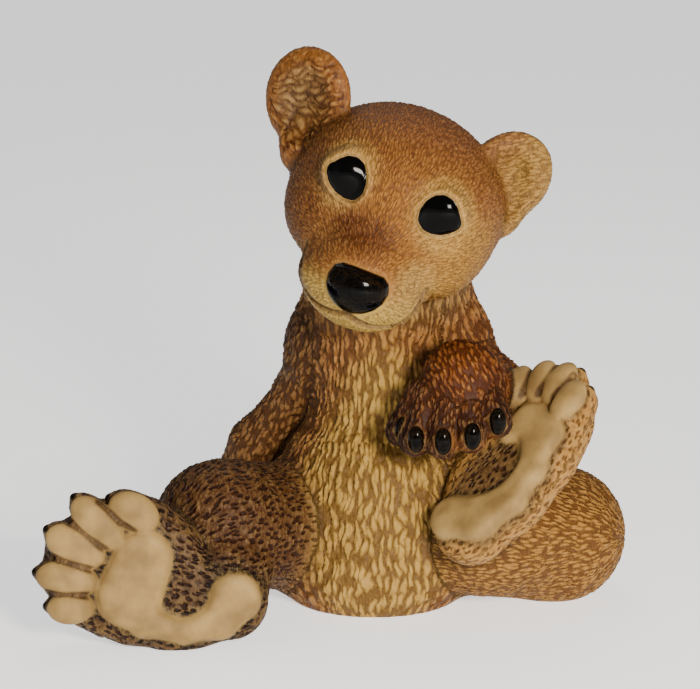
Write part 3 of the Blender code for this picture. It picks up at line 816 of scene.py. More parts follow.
class Clay:
    """The figure's forms, and the mesh that is pressed on to them."""

    def __init__(self, head: Head, body: Body) -> None:
        """Gathers the forms of the whole figure.

        Args:
            head: Head of the cub.
            body: Torso, arms and legs.
        """
        ears = head.ears()
        self.groups = [
            Group("torso", body.torso(), SOFT),
            Group("left_arm", body.left_arm(), TIGHT),
            Group("right_arm", body.right_arm(), MEDIUM),
            Group("left_leg", body.left_leg(), MEDIUM),
            Group("right_leg", body.right_leg(), MEDIUM),
            Group("left_paw", body.left_paw(), CREASED),
            Group("left_foot", left_foot().rows(), TIGHT),
            Group("right_foot", right_foot().rows(), TIGHT),
            Group("right_paw", body.right_paw(), CREASED),
            Group("left_ear", ears["left_ear"], TIGHT),
            Group("right_ear", ears["right_ear"], TIGHT),
            Group("head", head.skull() + head.face(), TIGHT),
        ]

    def near_rows(self, middle: np.ndarray, radius: float) -> list:
        """Picks the rows that matter near a chunk of points.

        Args:
            middle: Middle of the chunk.
            radius: Radius of the chunk.

        Returns:
            Pairs of a group and its near rows.
        """
        picked = []
        for number, group in enumerate(self.groups):
            rows = []
            for row in group.rows:
                centre, reach = row.form.reach()
                if np.linalg.norm(centre - middle) < reach + radius + row.blend + LONGEST_PRESS * 3:
                    rows.append(row)
            if rows:
                picked.append((number, group, rows))
        return picked

    def chunk_distance(self, points: np.ndarray, shares: np.ndarray | None = None) -> np.ndarray:
        """Measures the figure at one chunk of points.

        Args:
            points: Places in hundredths.
            shares: Where the distance to each group is written, or None.

        Returns:
            One signed distance a point.
        """
        middle = points.mean(axis=0)
        radius = float(np.sqrt(((points - middle) ** 2).sum(axis=1).max()))
        found = np.full(len(points), FAR, np.float32)
        for number, group, rows in self.near_rows(middle, radius):
            own = np.full(len(points), FAR, np.float32)
            for row in rows:
                reached = row.form.distance(points)
                if row.cuts:
                    own = -soft_least(-own, reached, row.blend)
                else:
                    own = soft_least(own, reached, row.blend)
            if shares is not None:
                shares[:, number] = own
            found = soft_least(found, own, group.blend)
        return np.maximum(found, -points[:, 2])

    def painted(self, points: np.ndarray, paint: Finishing) -> np.ndarray:
        """Measures the forms of one paint, each by itself.

        Args:
            points: Places in hundredths.
            paint: The paint.

        Returns:
            Distance of each point to the nearest such form.
        """
        found = np.full(len(points), FAR, np.float32)
        for group in self.groups:
            for row in group.rows:
                if row.paint is not paint:
                    continue
                centre, reach = row.form.reach()
                close = ((points - centre.astype(np.float32)) ** 2).sum(axis=1) < (reach + 3.0) ** 2
                found[close] = np.minimum(found[close], np.abs(row.form.distance(points[close])) if row.cuts
                                          else row.form.distance(points[close]))
        return found

    def distance(self, points: np.ndarray, shares: np.ndarray | None = None) -> np.ndarray:
        """Measures the figure at many points, chunk by chunk on several workers.

        Args:
            points: Places in hundredths, neighbours next to one another.
            shares: Where the distance to each group is written, or None.

        Returns:
            One signed distance a point.
        """
        cuts = list(range(0, len(points), CHUNK)) + [len(points)]
        spans = [slice(start, end) for start, end in zip(cuts, cuts[1:])]
        with ThreadPoolExecutor(WORKERS) as workers:
            done = workers.map(
                lambda span: self.chunk_distance(points[span], None if shares is None else shares[span]), spans
            )
            return np.concatenate(list(done))

    def slope(self, points: np.ndarray, here: np.ndarray) -> np.ndarray:
        """Measures the direction in which the distance grows.

        Args:
            points: Places in hundredths.
            here: Distances at those places.

        Returns:
            One slope a point.
        """
        slope = np.empty_like(points)
        for axis in range(3):
            moved = points.copy()
            moved[:, axis] += SLOPE_STEP
            slope[:, axis] = (self.distance(moved) - here) / SLOPE_STEP
        return slope

    def pressed(self, points: np.ndarray, rounds: int) -> np.ndarray:
        """Moves points on to the figure's surface.

        Args:
            points: Places in hundredths.
            rounds: How often each is moved.

        Returns:
            The moved places.
        """
        for _ in range(rounds):
            here = self.distance(points)
            slope = self.slope(points, here)
            steep = np.maximum((slope**2).sum(axis=1), 0.05)
            step = np.clip(here / steep, -LONGEST_PRESS, LONGEST_PRESS)
            points = points - slope * step[:, None]
        return points

    def rough(self) -> bpy.types.Mesh:
        """All forms fused into one mesh by a voxel remesh, in hundredths."""
        clay = bmesh.new()
        for group in self.groups:
            for row in group.rows:
                if row.laid and not row.cuts:
                    row.form.lay(clay)
        mesh = bpy.data.meshes.new("rough_clay")
        clay.to_mesh(mesh)
        clay.free()
        return remeshed(mesh, COARSE_GRAIN)

    def modelled(self, grain: float) -> bpy.types.Mesh:
        """Models the skin of the figure.

        Args:
            grain: Spacing of the finished skin's points, in hundredths.

        Returns:
            A closed mesh in hundredths, flat where it stands.
        """
        mesh = self.rough()
        set_points(mesh, self.pressed(points_of(mesh), 3))
        mesh = smoothed(mesh, 3)
        set_points(mesh, self.pressed(points_of(mesh), 1))
        stand_flat(mesh)
        mesh = remeshed(mesh, grain)
        set_points(mesh, self.pressed(points_of(mesh), 2))
        return mesh


def points_of(mesh: bpy.types.Mesh) -> np.ndarray:
    """The vertices of a mesh, one a row."""
    flat = np.empty(len(mesh.vertices) * 3, np.float32)
    mesh.vertices.foreach_get("co", flat)
    return flat.reshape(-1, 3)


def set_points(mesh: bpy.types.Mesh, points: np.ndarray) -> None:
    """Writes an array back to the vertices of a mesh."""
    mesh.vertices.foreach_set("co", points.astype(np.float32).ravel())
    mesh.update()


def normals_of(mesh: bpy.types.Mesh) -> np.ndarray:
    """The vertex normals of a mesh, one a row."""
    flat = np.empty(len(mesh.vertices) * 3, np.float32)
    mesh.vertex_normals.foreach_get("vector", flat)
    return flat.reshape(-1, 3)


def baked(mesh: bpy.types.Mesh, kind: str, **settings: object) -> bpy.types.Mesh:
    """Puts a mesh through one modifier.

    Args:
        mesh: The mesh to work on.
        kind: Type of the modifier.
        settings: Its settings.

    Returns:
        The worked mesh.
    """
    thing = bpy.data.objects.new("worked", mesh)
    bpy.context.scene.collection.objects.link(thing)
    modifier = thing.modifiers.new("work", kind)
    for name, value in settings.items():
        setattr(modifier, name, value)
    graph = bpy.context.evaluated_depsgraph_get()
    result = bpy.data.meshes.new_from_object(thing.evaluated_get(graph))
    bpy.data.objects.remove(thing)
    return result


def remeshed(mesh: bpy.types.Mesh, grain: float) -> bpy.types.Mesh:
    """The mesh rebuilt with points about one grain apart."""
    return baked(mesh, "REMESH", mode="VOXEL", voxel_size=grain)


def smoothed(mesh: bpy.types.Mesh, rounds: int) -> bpy.types.Mesh:
    """The mesh with its points evened out."""
    return baked(mesh, "SMOOTH", factor=0.5, iterations=rounds)


def stand_flat(mesh: bpy.types.Mesh) -> None:
    """Cuts the mesh off at the ground and closes the cut with flat faces."""
    clay = bmesh.new()
    clay.from_mesh(mesh)
    everything = clay.verts[:] + clay.edges[:] + clay.faces[:]
    bmesh.ops.bisect_plane(
        clay, geom=everything, dist=1e-6, plane_co=(0, 0, 0), plane_no=(0, 0, 1), clear_inner=True
    )
    rim = [edge for edge in clay.edges if edge.is_boundary]
    bmesh.ops.triangle_fill(clay, edges=rim, use_beauty=True, use_dissolve=False)
    bmesh.ops.recalc_face_normals(clay, faces=clay.faces[:])
    clay.to_mesh(mesh)
    clay.free()


@dataclass(frozen=True)
class Fur:
    """One manner of carved fur. Sizes are in hundredths."""

    name: str
    groups: tuple  # groups of the figure that carry it
    along: float  # least distance between two locks end to end
    across: float  # and side by side
    height: float  # from the bottom of a groove to a crest
    jitter: float = 14.0  # degrees that a lock may lie askew
    pitted: bool = False  # the locks are sunk and their edges stand
    contrast: float = 1.0  # how strongly the painter's wash shows in it
    within: object = None  # form that bounds it, if it doesn't cover its groups


@dataclass
class Locks:
    """All locks of the carved fur, one a row."""

    places: np.ndarray
    ways: np.ndarray  # directions in which they lie
    sizes: np.ndarray  # how far each reaches along and across
    heights: np.ndarray
    contrasts: np.ndarray
    pitted: np.ndarray


@dataclass
class Skin:
    """The figure's skin while it is carved: a mesh with its points and what is known at each."""

    points: np.ndarray
    normals: np.ndarray
    shares: np.ndarray  # distance to each group
    black: np.ndarray  # distance to the glossed forms
    pads: np.ndarray  # distance to the pads
    lines: np.ndarray  # distance to the dark lines
    eyes: np.ndarray  # distance to the openings of the eyes, seen from the front

    @property
    def owner(self) -> np.ndarray:
        """Number of the group that each point belongs to."""
        return self.shares.argmin(axis=1)


class Carver:
    """Carves the fur, stroke by stroke, along the way it lies."""

    GUIDES = (
        # how the fur lies on the body: from, to
        ((10.0, -12.0, 58.0), (9.0, -20.0, 30.0)),
        ((9.0, -20.0, 30.0), (8.5, -19.0, 2.0)),
        ((-8.0, -8.0, 30.0), (-6.0, -8.0, 4.0)),
        ((24.0, -8.0, 30.0), (25.0, -8.0, 20.0)),
        ((10.0, 14.0, 62.0), (9.0, 22.0, 10.0)),
        ((-2.0, 3.0, 52.0), (-5.5, 3.5, 36.5)),
        ((-5.5, 3.5, 36.5), (-15.0, 6.0, 25.0)),
        ((-15.0, 6.0, 25.0), (-24.0, 8.0, 5.0)),
        ((20.0, 1.0, 54.0), (29.0, -2.0, 39.0)),
        ((29.0, -3.0, 40.0), (24.0, -20.0, 45.0)),
        ((24.0, -21.0, 48.0), (21.0, -27.0, 36.0)),
        ((-4.0, -8.0, 22.0), (-20.0, -20.0, 28.0)),
        ((-16.0, -24.0, 26.0), (-17.0, -30.0, 8.0)),
        ((-24.0, -18.0, 26.0), (-28.0, -16.0, 8.0)),
        ((20.0, -2.0, 22.0), (40.0, -4.0, 20.0)),
        ((46.0, -8.0, 20.0), (30.0, -16.0, 8.0)),
        ((50.0, 0.0, 16.0), (40.0, 6.0, 6.0)),
    )
    GUIDE_REACH = 5.0
    TRIES = 8  # places tried for each lock that would fit
    RIVALS = 9  # nearest locks that are compared at a point of the skin
    WAVE = 0.36  # how far the grooves swing to their sides
    WAVE_LENGTH = 3.8
    GROOVE = 0.62  # share of a lock's half width over which it rises from the groove
    OPEN_END = (0.4, 0.75)  # where the grooves fade out to a lock's end, as shares of its reach
    PIT = (0.24, 0.66)  # where a pit's bottom ends and its edge begins, as shares of a lock's reach
    RUN_OUT = 0.7  # how far from smooth parts the strokes reach full height
    GROUND_RUN_OUT = 1.2
    LID_WIDTH = 0.55

    def __init__(self, clay: Clay, head: Head, feet: dict, seed: int = 11) -> None:
        """Prepares the carving.

        Args:
            clay: Forms of the figure.
            head: Head of the cub.
            feet: The hind feet by the names of their groups.
            seed: Start of the chance that places the strokes.
        """
        self.clay = clay
        self.head = head
        self.feet = feet
        self.chance = np.random.default_rng(seed)
        self.names = [group.name for group in clay.groups]

    def furs(self) -> list:
        """The manners of fur; where two would fit, the first is carved."""
        ball = self.head.frame.ball
        ears = ("left_ear", "right_ear")
        left_hollow = ball((-22.2, -3.4, 12.4), (7.4, 6.6, 8.8), (0.0, 0.0, -20.0))
        right_hollow = ball((18.2, -1.0, 11.0), (7.2, 6.6, 8.8), (0.0, 0.0, 22.0))
        muzzle = ball((0, -18, -7.5), (10.5, 9.5, 9.0))
        front = ball((0, -12, 0), (24, 16, 24))
        belly = Ball((8.5, -16.0, 26.0), (20.0, 15.0, 34.0))
        seat = Ball((9.0, -20.0, 3.0), (24.0, 16.0, 9.0))
        return [
            Fur("muzzle", ("head",), 0.95, 0.5, 0.06, 18.0, False, 0.5, muzzle),
            Fur("face", ("head",), 1.35, 0.55, 0.16, 16.0, False, 0.65, front),
            Fur("nape", ("head",), 1.7, 0.66, 0.24, 16.0, False, 0.85),
            Fur("left_ear_locks", ears, 3.3, 0.98, 0.5, 18.0, False, 1.0, left_hollow),
            Fur("right_ear_locks", ears, 2.4, 0.72, 0.26, 22.0, False, 0.8, right_hollow),
            Fur("ear_rims", ears, 1.4, 0.62, 0.14, 16.0, False, 0.7),
            Fur("seat", ("torso",), 2.0, 1.0, 0.44, 18.0, True, 0.6, seat),
            Fur("belly", ("torso",), 2.3, 0.78, 0.46, 16.0, False, 0.5, belly),
            Fur("back", ("torso",), 2.5, 0.86, 0.46, 15.0, False, 0.5),
            Fur("arms", ("left_arm", "right_arm"), 1.7, 0.64, 0.34, 16.0, False, 0.5),
            Fur("paws", ("right_paw", "left_paw"), 1.4, 0.6, 0.2, 14.0, False, 0.45),
            Fur("left_leg", ("left_leg",), 1.7, 0.7, 0.38, 20.0, False, 0.5),
            Fur("right_leg", ("right_leg",), 1.4, 0.62, 0.28, 20.0, False, 0.5),
            Fur("feet", ("left_foot", "right_foot"), 1.5, 0.74, 0.34, 20.0, True, 0.7),
        ]

    def flow(self, points: np.ndarray, normals: np.ndarray, owner: np.ndarray) -> np.ndarray:
        """Says which way the fur lies.

        Args:
            points: Places in hundredths.
            normals: Normals of the skin there.
            owner: Number of the group at each place.

        Returns:
            One unit direction a place, along the skin.
        """
        way = np.zeros_like(points)
        for start, end in self.GUIDES:
            start, end = np.array(start, np.float32), np.array(end, np.float32)
            along = end - start
            share = np.clip((points - start) @ (along / (along @ along)), 0.0, 1.0)
            gap = ((points - start - share[:, None] * along) ** 2).sum(axis=1)
            way += (along / np.linalg.norm(along)) / (gap[:, None] + self.GUIDE_REACH**2) ** 2
        way /= np.linalg.norm(way, axis=1)[:, None]
        nose = np.array(self.head.frame.place((0.0, -24.0, -5.0)), np.float32)
        down = np.array((0.0, 0.0, -1.0), np.float32)
        mine = owner == self.names.index("head")
        way[mine] = points[mine] - nose
        way[mine] /= np.linalg.norm(way[mine], axis=1)[:, None]
        behind = self.head.frame.local(points[mine])[:, 1]
        way[mine] += down * np.clip(behind / 12.0, 0.0, 1.5)[:, None]
        for name, root in (("left_ear", (-17.0, 1.0, 3.0)), ("right_ear", (15.0, 3.0, 3.0))):
            mine = owner == self.names.index(name)
            way[mine] = points[mine] - np.array(self.head.frame.place(root), np.float32)
            lean = self.head.frame.local(points[mine])[:, 2:] / 9.0 - 1.2
            turn = np.array(self.head.frame.turn, np.float32)
            hollow = (normals[mine] @ turn[:, 1] < -0.25) & (name == "left_ear")
            way[mine] = np.where(hollow[:, None], turn[:, 0] + turn[:, 2] * np.sin(lean * 2.0), way[mine])
        for name, foot in self.feet.items():
            mine = owner == self.names.index(name)
            turn = np.array(foot.frame.turn, np.float32)
            facing = np.abs(normals[mine] @ turn[:, 2])
            way[mine] = turn[:, 0] * facing[:, None] - turn[:, 2] - turn[:, 0] * 0.25
        way -= normals * (way * normals).sum(axis=1)[:, None]
        return way / np.maximum(np.linalg.norm(way, axis=1), 1e-6)[:, None]

    def scattered(self, places: np.ndarray, flow: np.ndarray, fur: Fur) -> list:
        """Picks where the strokes of one manner lie.

        Args:
            places: Possible places, in order of chance.
            flow: The way of the fur at each.
            fur: The manner of fur.

        Returns:
            Numbers of the picked places.
        """
        cells = np.floor(places / fur.along).astype(int).tolist()
        around = [(x, y, z) for x in (-1, 0, 1) for y in (-1, 0, 1) for z in (-1, 0, 1)]
        taken: dict = {}
        kept = []
        for number, (x, y, z) in enumerate(cells):
            rivals = [other for i, j, k in around for other in taken.get((x + i, y + j, z + k), ())]
            if rivals:
                offset = places[rivals] - places[number]
                along = (offset @ flow[number]) ** 2
                across = (offset**2).sum(axis=1) - along
                if (along / fur.along**2 + across / fur.across**2).min() < 1.0:
                    continue
            taken.setdefault((x, y, z), []).append(number)
            kept.append(number)
        return kept

    def carve(self, skin: Skin, fine: float) -> tuple:
        """Works out the relief of the fur.

        Args:
            skin: The smooth skin.
            fine: Area of skin that one of its points stands for, in square hundredths.

        Returns:
            The rise of each point, in hundredths, and the tone of the carving there, from 0 in the grooves
            to 1 on the crests.
        """
        owner = skin.owner
        smooth = np.minimum(skin.black - self.LID_WIDTH * (skin.eyes < 3.0), np.minimum(skin.pads, skin.lines))
        free = (smooth > 0.25) & (skin.points[:, 2] > 0.2)
        rows = []
        for fur in self.furs():
            own = free & np.isin(owner, [self.names.index(name) for name in fur.groups])
            if fur.within is not None:
                own &= fur.within.distance(skin.points) < 0.0
            numbers = np.flatnonzero(own)
            free &= ~own
            wanted = int(len(numbers) * fine / (fur.across * fur.along) * self.TRIES)
            numbers = self.chance.permutation(numbers)[:wanted]
            flow = self.flow(skin.points[numbers], skin.normals[numbers], owner[numbers])
            picked = self.scattered(skin.points[numbers], flow, fur)
            rows.append(self.laid(skin, numbers[picked], flow[picked], fur))
            log.info("fur: %s, %d locks", fur.name, len(picked))
        names = ("places", "ways", "sizes", "heights", "contrasts", "pitted")
        locks = Locks(*(np.concatenate([getattr(row, name) for row in rows]) for name in names))
        return self.raised(skin, locks, smooth)

    def laid(self, skin: Skin, roots: np.ndarray, flow: np.ndarray, fur: Fur) -> Locks:
        """Lays the locks of one manner, each a little askew and of its own size.

        Args:
            skin: The smooth skin.
            roots: Numbers of the points in the middle of the locks.
            flow: The way of the fur at each.
            fur: The manner of fur.

        Returns:
            The locks.
        """
        count = len(roots)
        askew = np.radians(self.chance.normal(0.0, fur.jitter, count))[:, None]
        ways = flow * np.cos(askew) + np.cross(skin.normals[roots], flow) * np.sin(askew)
        size = self.chance.uniform(0.85, 1.15, count)[:, None] * np.array((fur.along, fur.across))
        heights = fur.height * self.chance.uniform(0.75, 1.1, count)
        contrasts = fur.contrast * self.chance.uniform(0.75, 1.0, count)
        return Locks(skin.points[roots], ways, size, heights, contrasts, np.full(count, fur.pitted))

    def raised(self, skin: Skin, locks: Locks, smooth: np.ndarray) -> tuple:
        """Raises the skin lock by lock, with grooves between them.

        Args:
            skin: The smooth skin.
            locks: The locks.
            smooth: Distance of the skin's points to the parts that stay smooth.

        Returns:
            The rise of each point and the tone of the carving.
        """
        tree = KDTree(len(locks.places))
        for number, place in enumerate(locks.places.tolist()):
            tree.insert(place, number)
        tree.balance()
        turning = 2.0 * math.pi / self.WAVE_LENGTH
        bent = skin.points + self.WAVE * np.sin(skin.points[:, (1, 2, 0)] * turning + (0.0, 2.1, 4.2))
        rise = np.zeros(len(bent), np.float32)
        tone = np.ones(len(bent), np.float32)
        cover = np.clip(smooth / self.RUN_OUT, 0.0, 1.0) * np.clip(skin.points[:, 2] / self.GROUND_RUN_OUT, 0.0, 1.0)
        for rows in np.array_split(np.arange(len(bent)), max(1, len(bent) // 40000)):
            points = bent[rows]
            near = np.array([[found[1] for found in tree.find_n(point, self.RIVALS)] for point in points.tolist()])
            offset = points[:, None] - locks.places[near]
            along = (offset * locks.ways[near]).sum(axis=2)
            across = np.maximum((offset**2).sum(axis=2) - along**2, 0.0)
            sizes = locks.sizes[near]
            gaps = np.sqrt((along / sizes[..., 0]) ** 2 + across / sizes[..., 1] ** 2)
            best = gaps.argmin(axis=1)
            which = near[np.arange(len(rows)), best]
            reach = np.abs(along / sizes[..., 0])[np.arange(len(rows)), best]
            ends = np.clip((reach - self.OPEN_END[0]) / (self.OPEN_END[1] - self.OPEN_END[0]), 0.0, 1.0)
            first, second = np.partition(gaps, 1, axis=1)[:, :2].T
            edge = np.clip((second - first) / (second + first) / self.GROOVE, 0.0, 1.0)
            pit = np.clip((first - self.PIT[0]) / (self.PIT[1] - self.PIT[0]), 0.0, 1.0)
            share = np.where(locks.pitted[which], pit, np.maximum(edge, 0.85 * ends))
            swell = share * share * (3.0 - 2.0 * share)
            level = np.where(locks.pitted[which], 0.75, 0.6)
            rise[rows] = locks.heights[which] * (swell - level) * cover[rows]
            tone[rows] = 1.0 - (1.0 - swell) * cover[rows] * locks.contrasts[which]
        return rise, tone


def linear(code: str) -> tuple:
    """Turns an sRGB hex value into a linear colour with full alpha.

    Args:
        code: Six hex digits.

    Returns:
        Red, green, blue and alpha.
    """
    shares = [int(code[start : start + 2], 16) / 255.0 for start in (0, 2, 4)]
    lit = [share / 12.92 if share <= 0.04045 else ((share + 0.055) / 1.055) ** 2.4 for share in shares]
    return (*lit, 1.0)


def add_node(tree: bpy.types.NodeTree, kind: str, settings: dict | None = None, **links: object) -> bpy.types.Node:
    """Adds one node with its settings, values and links.

    Args:
        tree: Node tree that gets the node.
        kind: Type of the node.
        settings: Values of the node's own properties.
        links: An output to link, or a value to set, for each input, with its name's spaces as underscores
            or, for inputs that share a name, its number after one underscore.

    Returns:
        The new node.
    """
    node = tree.nodes.new(kind)
    for name, value in (settings or {}).items():
        setattr(node, name, value)
    for name, value in links.items():
        key = int(name[1:]) if name[1:].isdigit() else name.replace("_", " ")
        if isinstance(value, bpy.types.NodeSocket):
            tree.links.new(value, node.inputs[key])
        else:
            node.inputs[key].default_value = value
    return node


@dataclass(frozen=True)
class Studio:
    """Pale floor, soft lights and the camera at the photograph's angle."""

    floor_size: float = 16.0  # metres
    camera_rise: float = 13.0  # degrees over level
    camera_distance: float = 500.0  # hundredths
    target: tuple = (3.6, 0.0, 45.8)  # point of the figure in the middle of the picture, in hundredths
    pixels_across: int = 700
    pixels_each: float = 5.5  # pixels that a hundredth covers at the target
    sensor: float = 36.0  # millimetres

    def matte(self, name: str, colour: str, roughness: float) -> bpy.types.Material:
        """A plain matte surface.

        Args:
            name: Name of the material.
            colour: sRGB hex value.
            roughness: Roughness of the surface.

        Returns:
            The material.
        """
        material = bpy.data.materials.new(name)
        material.use_nodes = True
        surface = material.node_tree.nodes["Principled BSDF"]
        surface.inputs["Base Color"].default_value = linear(colour)
        surface.inputs["Roughness"].default_value = roughness
        return material

    def lay_floor(self) -> None:
        """Lays the pale floor under the figure."""
        clay = bmesh.new()
        bmesh.ops.create_grid(clay, x_segments=1, y_segments=1, size=self.floor_size / 2)
        mesh = bpy.data.meshes.new("floor")
        clay.to_mesh(mesh)
        clay.free()
        paper = self.matte("pale_paper", "F4F3F1", 0.9)
        surface = paper.node_tree.nodes["Principled BSDF"]
        surface.inputs["Emission Color"].default_value = linear("FFFFFF")
        surface.inputs["Emission Strength"].default_value = 0.95
        mesh.materials.append(paper)
        floor = bpy.data.objects.new("floor", mesh)
        bpy.context.scene.collection.objects.link(floor)

    def hang_light(self, name: str, place: tuple, size: float, power: float, aim: tuple, colour: str) -> None:
        """Hangs one soft light.

        Args:
            name: Name of the light.
            place: Where it hangs, in metres.
            size: Side of its square face, in metres.
            power: Power in watts.
            aim: Point it looks at, in metres.
            colour: sRGB hex value of its light.
        """
        lamp = bpy.data.lights.new(name, "AREA")
        lamp.size = size
        lamp.energy = power
        lamp.color = linear(colour)[:3]
        thing = bpy.data.objects.new(name, lamp)
        thing.location = place
        thing.rotation_euler = (Vector(aim) - Vector(place)).to_track_quat("-Z", "Y").to_euler()
        bpy.context.scene.collection.objects.link(thing)

    def hang_lights(self) -> None:
        """Hangs a key from the upper right, a weak fill from the left and a top light."""
        self.hang_light("key", (0.38, -1.14, 0.48), 0.22, 25.0, (0.02, 0.0, 0.13), "FFF4E6")
        self.hang_light("fill", (-1.1, -0.9, 0.55), 0.9, 0.9, (0.0, 0.0, 0.12), "F4F2FF")
        self.hang_light("top", (-0.1, 0.55, 1.1), 0.8, 3.0, (0.0, 0.0, 0.12), "FFFFFF")

    def light_room(self) -> None:
        """Gives the room an even pale glow."""
        world = bpy.data.worlds.new("pale_room")
        world.use_nodes = True
        glow = world.node_tree.nodes["Background"]
        glow.inputs["Color"].default_value = linear("F4F4F4")
        glow.inputs["Strength"].default_value = 0.28
        bpy.context.scene.world = world

    def set_camera(self) -> None:
        """Sets the camera to the photograph's angle and frame."""
        rise = math.radians(self.camera_rise)
        back = Vector((0.0, -math.cos(rise), math.sin(rise)))
        lens = bpy.data.cameras.new("camera")
        lens.sensor_width = self.sensor
        lens.lens = self.sensor * self.camera_distance * self.pixels_each / self.pixels_across
        camera = bpy.data.objects.new("camera", lens)
        camera.location = (Vector(self.target) - Vector(MIDDLE) + back * self.camera_distance) * HUNDREDTH
        camera.rotation_euler = (-back).to_track_quat("-Z", "Y").to_euler()
        bpy.context.scene.collection.objects.link(camera)
        bpy.context.scene.camera = camera

    def build(self) -> None:
        """Sets up the whole studio."""
        self.lay_floor()
        self.hang_lights()
        self.light_room()
        self.set_camera()
        log.info("studio: floor, 3 lights and camera")


@dataclass(frozen=True)
class Spray:
    """A soft-edged spot of paint: colour, the form it covers, how far it fades and its strength."""

    colour: str
    form: Ball
    fade: float
    strength: float = 1.0
    groups: tuple = ()  # names of the groups it is masked to, if not to all


NOISE_CELLS = 1000.0  # Blender's noise has cells of one unit at a scale of one: this many a metre is 1 mm


